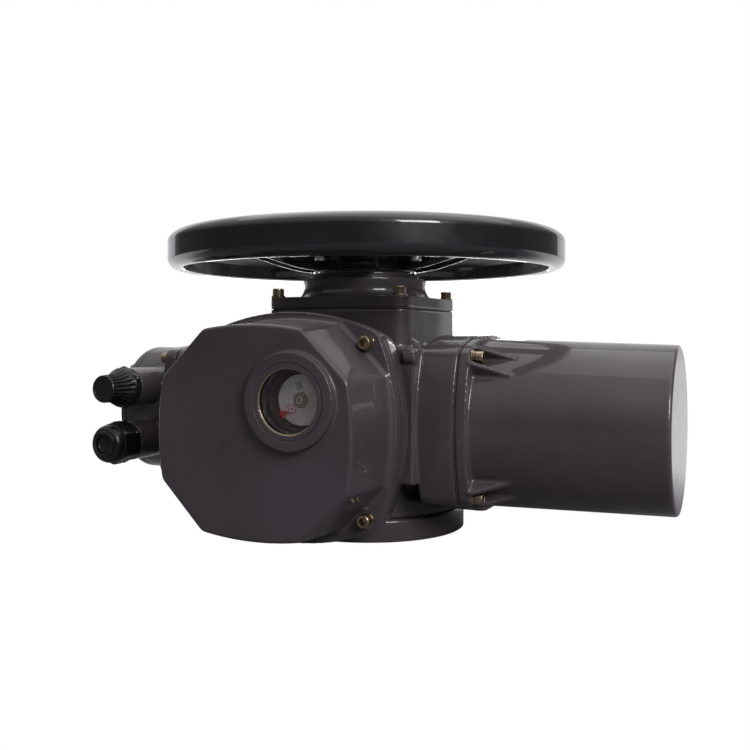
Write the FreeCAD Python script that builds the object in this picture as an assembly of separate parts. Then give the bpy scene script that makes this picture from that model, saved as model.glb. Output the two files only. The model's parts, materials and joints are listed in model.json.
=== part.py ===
"""Multi-turn electric valve actuator, an assembly of separate pieces.

Frame: millimetres, +Z up along the output and handwheel axis, origin at the centre of
the face that bolts onto the valve. +X points along the motor, -Y towards the electrical
cover with its window, -X towards the terminal compartment.
"""
import FreeCAD, Part
import math
import os
from FreeCAD import Placement, Rotation, Vector

os.makedirs("parts", exist_ok=True)

UP = (0, 0, 1)
DOWN = (0, 0, -1)
FRONT = (0, -1, 0)
BACK = (0, 1, 0)
RIGHT = (1, 0, 0)
LEFT = (-1, 0, 0)

# ---------------------------------------------------------------- driving dimensions
# Axes
AXIS_Z = 96.5                 # height of motor, worm, cover and terminal axes
MOTOR_Y = -21.5               # motor and terminal compartment axis
CENTRE_DISTANCE = 56.0        # worm axis to output axis
WORM_Y = -CENTRE_DISTANCE

# Valve flange, ISO 5210 F14
FLANGE_R = 89.0
FLANGE_T = 18.3
FLANGE_PCD = 140.0
FLANGE_HOLE_R = 7.0           # M16 tapping
SPIGOT_R = 50.0
SPIGOT_DEPTH = 5.0
FOOT_R = 86.5
FOOT_TOP = 34.0
FOOT_LEDGE = 6.0              # flat edge of the foot round its slope
FOOT_SLOPE = 20.0
EDGE_STEP = 1.5               # small step on the flange's upper edge
BASE_BORE_R = 36.0
BASE_SEAL_R = 44.0
BASE_SEAL_SEAT = 8.0
BASE_SCREW = (4.0, 22.0)      # radius and length
BASE_HEAD = (6.5, 8.0)        # radius and height
BASE_SINK = (6.8, 9.0)        # radius and depth of the counterbore
FOOT_SCREW_R = 78.0           # radius of the circle of base screws

# Gear column and bonnet
COLUMN_HALF = 64.8
COLUMN_CORNER_R = 12.0
COLUMN_TOP = 189.0
GEAR_CHAMBER_R = 55.0
GEAR_CHAMBER_FLOOR = 30.0
THRUST_SEAT_R = 48.0
BONNET_TOP = 199.4
BONNET_BOLT = 56.9
NECK_R = 54.9
NECK_TOP = 216.0
NECK_RING_R = 48.0
NECK_RING_TOP = 221.0
NECK_BORE_R = 40.0
NECK_ROOT_R = 61.5            # the neck's cove starts here on the bonnet
NECK_COVE_H = 9.5

# Casting wall, gaskets and screws
WALL = 6.0
GASKET_T = 0.8
SCREW_R = 3.0                 # M6
SCREW_HEAD_R = 5.0
SCREW_HEAD_H = 6.0
SOCKET_SHARE = 0.58           # hexagon corners as a part of the head's radius
SOCKET_DEPTH_SHARE = 0.55     # of the head's height
WASHER_R = 6.1
WASHER_T = 1.6
SCREW_HOLE_R = 3.0

# Electrical compartment, axis along -Y
COVER_FACE_HALF = 77.0        # from the axis to the middle of an arched side
COVER_ROOT_HALF = 80.5
COVER_SIDE_SHARE = 0.529      # where an arched side meets a corner flat, as parts of the
COVER_CORNER_SHARE = 0.955    # half: along the side and out from the axis
COVER_CORNER_R = 9.0
COVER_EDGE_R = 2.5
COVER_RISE = 1.0              # the cover's dome sits this much above the axis
COVER_SKIRT = 2.5             # slope round the root of the dome
COVER_EXTRA = 2.7             # the cover reaches this much further sideways than up and down
SPOT_FACE_R = 7.2
COVER_FACE_Y = -197.2
COVER_FLANGE_Y = -139.0
JOINT_Y = -127.0
COMPARTMENT_BACK_Y = -102.0
BULKHEAD_Y = -79.0
FRONT_HALF = 88.0
FRONT_SIDE_R = 178.0
FRONT_CORNER_R = 13.0
FRONT_SCREW = 64.8
FRONT_NECK_HALF = 70.0
FRONT_NECK_Y = (-50.0, -117.0)
FRONT_RIM_DRAFT = 5.0
COVER_WALL = 4.5

# Window
WINDOW_X = 33.8
WINDOW_Z = 121.2
WINDOW_BOSS_R = 34.4
WINDOW_BOSS_H = 6.8
WINDOW_SEAT_R = 26.6
WINDOW_SIGHT_R = 22.5
GLASS_T = 3.5
DIAL_R = 18.2
DIAL_Y = -180.5
BEZEL_R = 22.3                # tube round the dial
BEZEL_T = 1.4
BEZEL_FLOOR = 3.0
BEZEL_FRONT_Y = -191.0
WINDOW_SEAL_T = 1.0
WINDOW_RING_T = 1.4
WINDOW_GLASS_BACK = 5.5       # the glass ends this deep in the boss
DIAL_SHAFT_R = 3.0

# Motor mount and motor, axis along +X
MOUNT_X = 84.0
MOTOR_JOINT_X = 115.0
MOTOR_FLANGE_X = 124.6
MOTOR_END_X = 268.8
MOTOR_HALF = 71.0
MOTOR_SIDE_R = 150.0
MOTOR_CORNER_R = 12.0
MOTOR_BOLT = 53.8
MOTOR_ROOT_R = 67.7
MOTOR_TIP_R = 64.0
MOTOR_BORE_R = 58.5
MOTOR_NECK_R = 62.0
NECK_START_X = 40.0           # side necks start inside the column
GEAR_BAY_R = 61.0
GEAR_BAY_X = 78.0
BARREL_EDGE_R = 2.5
REAR_BOSS_R = 31.0
REAR_BOSS_L = 14.0
RIB_LENGTH = 31.0
RIB_T = 4.0

# Casting lug between the front compartment and the motor mount
WEB_LOW = (55.0, -96.0, 52.0)     # web between the front compartment and the motor mount
WEB_HIGH = (84.5, -50.0, 157.0)
LUG_X = 76.0
LUG_Y = -94.0
LUG_Z = 150.0
LUG_R = 5.5

# Terminal compartment, axis along -X
TERMINAL_NECK_R = 57.0
TERMINAL_FLANGE_X = -140.0
TERMINAL_JOINT_X = -150.0
TERMINAL_SEAT_X = -162.0
TERMINAL_COVER_X = -205.0
TERMINAL_END_X = -211.0
TERMINAL_R = 58.0
TERMINAL_HALF = 61.0
TERMINAL_SIDE_R = 300.0
TERMINAL_CORNER_R = 10.0
TERMINAL_SCREW = 49.0
TERMINAL_BORE_R = 49.0
TERMINAL_FLOOR_X = -78.0
LID_SCREW_R = 53.4            # radius of the circle of end cover screws
LID_THREAD_R = 2.5
LID_SCREW_L = 16.0
LID_HEAD = (4.2, 3.0)         # radius and height
DUCT_R = 8.0                  # cable ducts from here to the front compartment
DUCT_RISE = 38.0

# Cable glands, axis along -Y
GLAND_X = -180.0
GLAND_RISE = 23.7             # above and below the compartment's axis
GLAND_BOSS_R = 17.0
GLAND_SEAT_Y = -109.0
GLAND_TIP_Y = -141.0
GLAND_THREAD_R = 12.5
GLAND_FLATS = 33.0
GLAND_NUT_H = 5.5
GLAND_COLLAR_T = 1.5
GLAND_SEAL_T = 1.0
GLAND_SEAL_R = 16.2
GLAND_NECK_R = 10.5
GLAND_WAY_R = 7.0             # cable way
GLAND_NECK_L = 14.0
GLAND_CAP_START = 7.0         # caps start this far in front of the seat
CAP_ROOT_R = 17.5
CAP_FLARE_L = 17.0
CAP_TIP_R = 12.2
CAP_GROOVES = 24
CAP_GROOVE_CIRCLE_R = 13.6
CAP_GROOVE_R = 0.9
DOME_NUT_H = 15.0
DOME_ROOT_R = 16.5
DOME_TIP_R = 11.0
PLUG_R = 7.9
PLUG_L = 10.0
PLUG_START = 13.5             # from the back of the nut

# Gearing
WORM_MODULE = 2.0
WORM_PITCH_R = 13.0
WHEEL_TEETH = 43
WHEEL_WIDTH = 16.0
SPUR_MODULE = 1.5
PINION_TEETH = 16
GEAR_TEETH = 30
SPUR_WIDTH = 12.0
PRESSURE_ANGLE = math.radians(20)
RUNNING_GAP = 0.05
PINION_X = MOTOR_JOINT_X - 34.0
PINION_TIP_R, PINION_ROOT_R = 13.4, 10.3
GEAR_TIP_R, GEAR_ROOT_R = 23.9, 20.8
SPUR_SLACK = 0.08             # taken off each side of a tooth
WORM_TURNS = 6.5
WORM_TIP_R = WORM_PITCH_R + 1.9
WORM_ROOT_R = WORM_PITCH_R - 2.4
WORM_SLACK = 0.22
WORM_SHAFT_R = 8.0
WORM_TUNNEL_R = 17.0
WORM_TUNNEL_X = (-62.0, 80.0)
WORM_END_BEARING = (12.0, -74.0)   # outer radius and start
WORM_BEARING_W = 10.0

# Motor inside
MOTOR_SHAFT_R = 12.0
ROTOR_SHAFT_R = 14.0
PINION_SHAFT_R = 7.5
MOTOR_BEARING_R = 23.5
MOTOR_BEARING_W = 9.0
SHIELD_T = 12.0
SHIELD_X = MOTOR_JOINT_X + 4.0
STATOR_X = 152.0
STATOR_L = 80.0
STATOR_BORE_R = 34.0
ROTOR_R = 33.4
WINDING_R = (52.0, 37.0)      # outer and inner
WINDING_L = 15.0
WINDING_GAP = 0.2

# Output sleeve
SLEEVE_R = 33.0
SLEEVE_TOP_R = 25.0
SLEEVE_BORE_R = 20.5
SLEEVE_FOOT_Z = 6.5
SLEEVE_TOP = 241.0
UPPER_BEARING_Z = 175.0
STEM_NUT_R = 27.0
STEM_NUT_TOP = 70.0
STEM_BORE_R = 18.0
SLEEVE_FOOT_R = 35.0
SLEEVE_COLLAR_R = 38.0
SLEEVE_COLLAR_T = 6.0
THRUST_BEARING_W = 11.0
UPPER_BEARING_W = 8.0
OUTPUT_SEAL_W = 7.5
CLUTCH_R = 37.0
CLUTCH_Z = 192.0
CLUTCH_RING_T = 9.0
CLAW_R = (28.0, 36.0)         # inner and outer
CLAW_HALF_ANGLE = 12.0        # degrees
CLAW_H = 8.0
CUP_CLAW_Z = 212.0
CUP_PLATE_T = 3.0

# Handwheel
WHEEL_R = 175.0
RIM_TOP = 256.9
RIM_INNER_R = 155.0           # where the spokes join, above the flat inner wall
RIM_CROWN_R = 160.0           # highest circle of the rim
RIM_SHOULDER_Z = 247.0        # the outer wall is upright between its two curves
RIM_LOW_CENTRE = (166.0, 233.0)
RIM_LOW_R = 9.0
SPOKES = 5
SPOKE_PHASE = 1.3             # degrees from +X
SPOKE_WIDTH = 34.0
HUB_R = 46.0
HUB_BOTTOM = 222.0
HUB_TOP = 235.5
HUB_BORE_R = 29.0
HUB_PLATE_R = 80.0
HUB_PLATE_BORE_R = 26.0
HUB_PLATE_T = 5.5
HUB_SCREW_R = 68.0
HUB_SCREW_PHASE = 45.3        # degrees from +X, between the spokes
SPOKE_UNDERSIDE = [(42.0, 222.5), (58.0, 224.5), (70.0, 227.0), (100.0, 236.5), (157.0, 250.5)]
SPOKE_TOP = [(157.0, 255.0), (104.0, 246.0), (81.0, 235.2), (42.0, 235.2)]
STEM_CAP_R = 32.0
STEM_CAP_H = 12.0
STEM_CAP_EDGE_R = 4.0
STEM_CAP_BORE = (27.0, 8.0)   # radius and depth

# Electrical compartment inside
PLATE_HALF = 50.0
PLATE_T = 3.0
POST_R = 4.0
POST_L = 6.0
POST_REACH = 42.0
COUNTER_LEFT, COUNTER_RIGHT = 20.0, 14.0    # reach beside the dial axis
COUNTER_HALF_H = 20.0
COUNTER_DEPTH = 60.0
SHAFT_IN_COUNTER = 28.0       # depth at which the dial shaft ends inside the counter
DIAL_T = 1.5
DIAL_SCREW = (1.5, 1.5)       # radius and length
DIAL_SCREW_HEAD = (3.2, 1.8)  # radius and height
SWITCH_X = (-44.0, -14.0)
SWITCH_PITCH = 16.0
SWITCH_H = 11.0
SWITCH_DEPTH = 22.0
BOARD_X = (-8.0, 46.0)
BOARD_Z = (-46.0, -6.0)       # from the cover's axis
BOARD_T = 12.0
BLOCK_FRONT_X = -160.0
BLOCK_HALF_Y = 34.0
BLOCK_HALF_Z = 12.0
TERMINAL_WAYS = 8
WAY_PITCH = 8.0
WAY_WIDTH = 6.0
WAY_DEPTH = 10.0
WAY_HALF_Z = 9.0
CLAMP_SCREW = (2.4, 5.0)      # radius and length


# ---------------------------------------------------------------- helpers
def turned(shape, origin, axis):
    """Move a shape made at the origin along +Z so that it starts at origin along axis."""
    shape.Placement = Placement(Vector(*origin), Rotation(Vector(0, 0, 1), Vector(*axis)))
    return shape


def cylinder(radius, length, origin, axis=UP):
    return Part.makeCylinder(radius, length, Vector(*origin), Vector(*axis))


def ring(outer, inner, length, origin, axis=UP):
    return cylinder(outer, length, origin, axis).cut(cylinder(inner, length, origin, axis))


def cone(radius, tip_radius, length, origin, axis=UP):
    return Part.makeCone(radius, tip_radius, length, Vector(*origin), Vector(*axis))


def box(low, high):
    size = [b - a for a, b in zip(low, high)]
    return Part.makeBox(*size, Vector(*low))


def revolved(points, origin=(0, 0, 0), axis=UP):
    """A solid of revolution from (radius, height) points."""
    profile = [Vector(r, 0, h) for r, h in points]
    face = Part.Face(Part.makePolygon(profile + profile[:1]))
    return turned(face.revolve(Vector(0, 0, 0), Vector(0, 0, 1), 360), origin, axis)


def joined(shapes):
    first, rest = shapes[0], shapes[1:]
    return first.multiFuse(rest).removeSplitter() if rest else first


def prism(outline, length, origin, axis):
    return turned(Part.Face(outline).extrude(Vector(0, 0, length)), origin, axis)


def drafted(low_outline, high_outline, length, origin, axis):
    """A solid whose outline changes evenly from one end to the other."""
    high = high_outline.copy()
    high.translate(Vector(0, 0, length))
    return turned(Part.makeLoft([low_outline, high], True, True), origin, axis)


def bulged_square(half, side_r, corner_r):
    """Outline of a square with arched sides and round corners, centred on the origin."""
    arch_centre = half - side_r
    reach = side_r - corner_r
    corner = (arch_centre + math.sqrt(2 * reach ** 2 - arch_centre ** 2)) / 2
    lean = math.atan2(corner, corner - arch_centre)
    edges = []
    for quarter in range(4):
        spin = Rotation(Vector(0, 0, 1), 90 * quarter)
        left = Vector(-side_r * math.sin(lean), arch_centre + side_r * math.cos(lean), 0)
        crown = Vector(0, half, 0)
        right = Vector(-left.x, left.y, 0)
        tip = corner + corner_r * math.sqrt(0.5)
        after = Vector(right.y, right.x, 0)
        arch = [spin.multVec(p) for p in (left, crown, right)]
        bend = [spin.multVec(p) for p in (right, Vector(tip, tip, 0), after)]
        edges.append(Part.Arc(*arch).toShape())
        edges.append(Part.Arc(*bend).toShape())
    return Part.Wire(Part.__sortEdges__(edges))


def cover_outline(half):
    """Outline of the electrical cover: four arched sides joined by flats at 45 degrees."""
    across = half * COVER_SIDE_SHARE
    out = half * COVER_CORNER_SHARE
    wide_half, wide_out, wide_across = half + COVER_EXTRA, out + COVER_EXTRA, across - COVER_EXTRA
    top = [Vector(-across, out, 0), Vector(0, half, 0), Vector(across, out, 0)]
    right = [Vector(wide_out, wide_across, 0), Vector(wide_half, 0, 0),
             Vector(wide_out, -wide_across, 0)]
    sides = [top, right, [-1 * p for p in top], [-1 * p for p in right]]
    edges = []
    for side, following in zip(sides, sides[1:] + sides[:1]):
        edges.append(Part.Arc(*side).toShape())
        edges.append(Part.makeLine(side[-1], following[0]))
    return Part.Wire(edges)


def rounded_square(half, corner_r):
    plate = Part.makeBox(2 * half, 2 * half, 1, Vector(-half, -half, 0))
    upright = [e for e in plate.Edges if abs(e.Vertexes[0].Z - e.Vertexes[1].Z) > 0.5]
    plate = plate.makeFillet(corner_r, upright)
    bottom = [f for f in plate.Faces if abs(f.CenterOfMass.z) < 1e-6]
    return bottom[0].OuterWire


def hexagon(across_flats):
    corner_r = across_flats / math.sqrt(3)
    corners = [Vector(corner_r * math.cos(math.radians(60 * i + 30)),
                      corner_r * math.sin(math.radians(60 * i + 30)), 0) for i in range(7)]
    return Part.makePolygon(corners)


def corner_places(centre, reach, axis):
    """Four places at (+-reach, +-reach) around a centre, in the plane across the axis."""
    places = []
    for a in (-reach, reach):
        for b in (-reach, reach):
            x, y, z = centre
            if abs(axis[0]):
                places.append((x, y + a, z + b))
            elif abs(axis[1]):
                places.append((x + a, y, z + b))
            else:
                places.append((x + a, y + b, z))
    return places


def circle_places(radius, height, count, phase=0.0):
    angles = [math.radians(phase + 360 * i / count) for i in range(count)]
    return [(radius * math.cos(a), radius * math.sin(a), height) for a in angles]


def cap_screw(seat, axis, shank, radius=SCREW_R, head_r=SCREW_HEAD_R, head_h=SCREW_HEAD_H):
    """Socket-head cap screw whose head stands on seat and points along axis."""
    head = cylinder(head_r, head_h, (0, 0, 0))
    head = head.makeChamfer(head_r / 10, [e for e in head.Edges
                                          if abs(e.CenterOfMass.z - head_h) < 1e-3])
    socket_depth = head_h * SOCKET_DEPTH_SHARE
    socket_flats = head_r * SOCKET_SHARE * math.sqrt(3)
    socket = Part.Face(hexagon(socket_flats)).extrude(Vector(0, 0, socket_depth))
    socket.translate(Vector(0, 0, head_h - socket_depth))
    stem = cylinder(radius, shank, (0, 0, -shank))
    return turned(joined([head, stem]).cut(socket), seat, axis)


def washer(seat, axis, outer=WASHER_R, thickness=WASHER_T):
    return ring(outer, SCREW_R + 0.3, thickness, seat, axis)


def raised(place, axis, distance):
    return tuple(p + a * distance for p, a in zip(place, axis))


def screw_set(places, axis, shank, stand_off):
    """Cap screws whose heads stand off their places by the thickness of their washers."""
    return [cap_screw(raised(p, axis, stand_off), axis, shank + stand_off) for p in places]


def washers():
    """Flat washers under every casing screw, and a lock washer on each at the motor."""
    flat = [washer(p, UP) for p in BONNET_PLACES]
    flat += [washer(p, FRONT) for p in FRONT_PLACES]
    flat += [washer(p, LEFT) for p in TERMINAL_PLACES]
    flat += [washer(raised(p, RIGHT, WASHER_T), RIGHT, WASHER_R - 0.8) for p in MOTOR_PLACES]
    keep("flat_washers", flat + [washer(p, RIGHT) for p in MOTOR_PLACES])


def holes(places, axis, depth, radius=SCREW_HOLE_R):
    """Round holes that run from each place against the axis."""
    return [cylinder(radius, depth, p, tuple(-a for a in axis)) for p in places]


def involute_outline(teeth, module, tip_r, root_r, slack, phase=0.0):
    """Outline of a gear whose first tooth is centred on +X turned by phase."""
    pitch_r = teeth * module / 2
    base_r = pitch_r * math.cos(PRESSURE_ANGLE)
    half_tooth = math.pi / (2 * teeth) - slack / pitch_r
    at_pitch = math.tan(PRESSURE_ANGLE) - PRESSURE_ANGLE

    def flank_angle(radius):
        roll = math.acos(min(1.0, base_r / max(radius, base_r)))
        return half_tooth + at_pitch - (math.tan(roll) - roll)

    steps = 5
    start_r = max(base_r, root_r)
    radii = [start_r + (tip_r - start_r) * i / (steps - 1) for i in range(steps)]
    if root_r < start_r:
        radii.insert(0, root_r)
    points = []
    for tooth in range(teeth):
        middle = phase + 2 * math.pi * tooth / teeth
        rising = [(r, middle - flank_angle(r)) for r in radii]
        falling = [(r, middle + flank_angle(r)) for r in reversed(radii)]
        points += [Vector(r * math.cos(a), r * math.sin(a), 0) for r, a in rising + falling]
    return Part.makePolygon(points + points[:1])


def bearing(inner, outer, width, origin, axis):
    """Ball bearing drawn as one ring with a groove in each face for its shields."""
    body = ring(outer, inner, width, origin, axis)
    groove_r = (inner + outer) / 2
    half_groove = (outer - inner) / 6
    for start in (origin, raised(origin, axis, width - 1.0)):
        body = body.cut(ring(groove_r + half_groove, groove_r - half_groove, 1.0, start, axis))
    return body


nodes = {}


def keep(name, shapes):
    """Store a node; several shapes become a group of separate solids."""
    if isinstance(shapes, list):
        solids = [solid for shape in shapes for solid in shape.Solids]
        nodes[name] = Part.makeCompound(solids)
    else:
        nodes[name] = shapes.Solids[0] if len(shapes.Solids) == 1 else shapes


# ---------------------------------------------------------------- outlines used twice
def front_outline(shrink=0.0):
    return bulged_square(FRONT_HALF - shrink, FRONT_SIDE_R, FRONT_CORNER_R)


def motor_outline():
    return bulged_square(MOTOR_HALF, MOTOR_SIDE_R, MOTOR_CORNER_R)


def terminal_outline():
    return bulged_square(TERMINAL_HALF, TERMINAL_SIDE_R, TERMINAL_CORNER_R)


def column_outline():
    return rounded_square(COLUMN_HALF, COLUMN_CORNER_R)


BASE_SCREW_PLACES = circle_places(FOOT_SCREW_R, 0, 4)
VALVE_BOLT_PLACES = circle_places(FLANGE_PCD / 2, 0, 4, 45)
BONNET_PLACES = corner_places((0, 0, BONNET_TOP), BONNET_BOLT, UP)
FRONT_PLACES = corner_places((0, COVER_FLANGE_Y, AXIS_Z), FRONT_SCREW, FRONT)
MOTOR_PLACES = corner_places((MOTOR_FLANGE_X, MOTOR_Y, AXIS_Z), MOTOR_BOLT, RIGHT)
TERMINAL_PLACES = corner_places((TERMINAL_SEAT_X, MOTOR_Y, AXIS_Z), TERMINAL_SCREW, LEFT)
GLAND_PLACES = [(GLAND_X, GLAND_SEAT_Y, AXIS_Z + rise) for rise in (GLAND_RISE, -GLAND_RISE)]


# ---------------------------------------------------------------- castings
def main_housing():
    """One casting: gear column, front compartment back, motor mount, terminal neck."""
    column_height = COLUMN_TOP - FLANGE_T
    column = prism(column_outline(), column_height, (0, 0, FLANGE_T), UP)
    foot = cylinder(FOOT_R, FOOT_TOP - FLANGE_T, (0, 0, FLANGE_T))
    foot_slope = cone(FOOT_R - FOOT_LEDGE, COLUMN_HALF, FOOT_SLOPE, (0, 0, FOOT_TOP))
    neck_start, neck_end = FRONT_NECK_Y
    front_neck = prism(bulged_square(FRONT_NECK_HALF, FRONT_SIDE_R, FRONT_CORNER_R),
                       neck_start - neck_end, (0, neck_start, AXIS_Z), FRONT)
    front_rim = drafted(front_outline(FRONT_RIM_DRAFT), front_outline(),
                        COMPARTMENT_BACK_Y - JOINT_Y, (0, COMPARTMENT_BACK_Y, AXIS_Z), FRONT)
    mount_neck = cylinder(MOTOR_NECK_R, MOUNT_X - NECK_START_X,
                          (NECK_START_X, MOTOR_Y, AXIS_Z), RIGHT)
    mount = prism(motor_outline(), MOTOR_JOINT_X - MOUNT_X, (MOUNT_X, MOTOR_Y, AXIS_Z), RIGHT)
    terminal_neck = cylinder(TERMINAL_NECK_R, -TERMINAL_FLANGE_X - NECK_START_X,
                             (-NECK_START_X, MOTOR_Y, AXIS_Z), LEFT)
    terminal_rim = prism(terminal_outline(), TERMINAL_FLANGE_X - TERMINAL_JOINT_X,
                         (TERMINAL_FLANGE_X, MOTOR_Y, AXIS_Z), LEFT)
    lug = cylinder(LUG_R, MOUNT_X + 2 - LUG_X, (LUG_X, LUG_Y, LUG_Z), RIGHT)
    body = joined([column, foot, foot_slope, front_neck, front_rim, mount_neck, mount,
                   terminal_neck, terminal_rim, box(WEB_LOW, WEB_HIGH), lug])

    keep("main_housing", body.cut(gear_spaces() + compartments() + casting_holes()))


def gear_spaces():
    """Spaces for the worm wheel, the worm, their bearings and the motor's pinion."""
    tunnel_start, tunnel_end = WORM_TUNNEL_X
    end_bearing_r, end_bearing_x = WORM_END_BEARING
    return [cylinder(GEAR_CHAMBER_R, COLUMN_TOP - GEAR_CHAMBER_FLOOR, (0, 0, GEAR_CHAMBER_FLOOR)),
            cylinder(THRUST_SEAT_R, GEAR_CHAMBER_FLOOR - FLANGE_T, (0, 0, FLANGE_T)),
            cylinder(WORM_TUNNEL_R, tunnel_end - tunnel_start,
                     (tunnel_start, WORM_Y, AXIS_Z), RIGHT),
            cylinder(end_bearing_r, tunnel_start - end_bearing_x,
                     (end_bearing_x, WORM_Y, AXIS_Z), RIGHT),
            cylinder(GEAR_BAY_R, MOTOR_JOINT_X - GEAR_BAY_X,
                     (GEAR_BAY_X, MOTOR_Y, AXIS_Z), RIGHT)]


def compartments():
    """Front and terminal compartments and the cable duct between them."""
    inner = bulged_square(FRONT_NECK_HALF - WALL, FRONT_SIDE_R, FRONT_CORNER_R)
    front = prism(inner, BULKHEAD_Y - JOINT_Y, (0, BULKHEAD_Y, AXIS_Z), FRONT)
    terminal_bay = cylinder(TERMINAL_BORE_R, TERMINAL_FLOOR_X - TERMINAL_JOINT_X,
                            (TERMINAL_JOINT_X, MOTOR_Y, AXIS_Z), RIGHT)
    duct_z = AXIS_Z + DUCT_RISE
    across = cylinder(DUCT_R, 60, (-100, -55, duct_z), RIGHT)
    forward = cylinder(DUCT_R, 40, (-48, -55, duct_z), FRONT)
    return [front, terminal_bay, across, forward]


def casting_holes():
    """Threaded holes in the main casting, in the order top, front, motor, terminal, base."""
    wells = holes([(x, y, COLUMN_TOP) for x, y, z in BONNET_PLACES], UP, 22)
    wells += holes([(x, JOINT_Y, z) for x, y, z in FRONT_PLACES], FRONT, 16)
    wells += holes([(MOTOR_JOINT_X, y, z) for x, y, z in MOTOR_PLACES], RIGHT, 18)
    wells += holes([(TERMINAL_JOINT_X, y, z) for x, y, z in TERMINAL_PLACES], LEFT, 10)
    wells += [cylinder(BASE_SCREW[0], 14, (x, y, FLANGE_T)) for x, y, z in BASE_SCREW_PLACES]
    wells += [cylinder(FLANGE_HOLE_R, 12, (x, y, FLANGE_T)) for x, y, z in VALVE_BOLT_PLACES]
    return wells


def mounting_base():
    """Round flange that bolts onto the valve, with its spigot recess and tapped holes."""
    plate = cylinder(FLANGE_R, FLANGE_T - EDGE_STEP, (0, 0, 0))
    step = cylinder(FLANGE_R - EDGE_STEP, EDGE_STEP, (0, 0, FLANGE_T - EDGE_STEP))
    plate = joined([plate, step])
    cuts = [cylinder(SPIGOT_R, SPIGOT_DEPTH, (0, 0, 0)),
            cylinder(BASE_SEAL_R, BASE_SEAL_SEAT, (0, 0, SPIGOT_DEPTH)),
            cylinder(BASE_BORE_R, FLANGE_T, (0, 0, 0))]
    cuts += [cylinder(FLANGE_HOLE_R, FLANGE_T, (x, y, 0)) for x, y, z in VALVE_BOLT_PLACES]
    screw_r, screw_length = BASE_SCREW
    sink_r, sink_depth = BASE_SINK
    cuts += [cylinder(screw_r, FLANGE_T, p) for p in BASE_SCREW_PLACES]
    cuts += [cylinder(sink_r, sink_depth, p) for p in BASE_SCREW_PLACES]
    keep("mounting_base", plate.cut(cuts))
    seat_z = sink_depth - 0.5
    keep("base_screws", [cap_screw((x, y, seat_z), DOWN, screw_length, screw_r, *BASE_HEAD)
                         for x, y, z in BASE_SCREW_PLACES])


def top_cover():
    """Bonnet over the gear column with its concave neck."""
    plate = prism(column_outline(), BONNET_TOP - COLUMN_TOP - GASKET_T,
                  (0, 0, COLUMN_TOP + GASKET_T), UP)
    steps = 8
    sweep = NECK_ROOT_R - NECK_R
    turns = [math.pi / 2 * i / steps for i in range(steps + 1)]
    cove = [(NECK_ROOT_R - sweep * math.sin(a), BONNET_TOP + NECK_COVE_H * (1 - math.cos(a)))
            for a in turns]
    neck = revolved([(0, BONNET_TOP - 2), (NECK_ROOT_R, BONNET_TOP - 2)] + cove
                    + [(NECK_R, NECK_TOP), (NECK_RING_R, NECK_TOP),
                       (NECK_RING_R, NECK_RING_TOP), (0, NECK_RING_TOP)])
    spigot_bottom = UPPER_BEARING_Z - 2
    spigot = cylinder(GEAR_CHAMBER_R - 0.2, COLUMN_TOP + GASKET_T - spigot_bottom,
                      (0, 0, spigot_bottom))
    cuts = [cylinder(NECK_BORE_R, 60, (0, 0, UPPER_BEARING_Z)),
            cylinder(NECK_BORE_R - 4, 20, (0, 0, spigot_bottom))]
    cuts += holes(BONNET_PLACES, UP, 20)
    keep("top_cover", joined([plate, neck, spigot]).cut(cuts))
    gasket = prism(column_outline(), GASKET_T, (0, 0, COLUMN_TOP), UP)
    gasket = gasket.cut([cylinder(GEAR_CHAMBER_R, 5, (0, 0, COLUMN_TOP - 1))]
                        + holes(BONNET_PLACES, UP, 20))
    keep("top_gasket", gasket)
    keep("top_screws", screw_set(BONNET_PLACES, UP, 26, WASHER_T))


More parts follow.
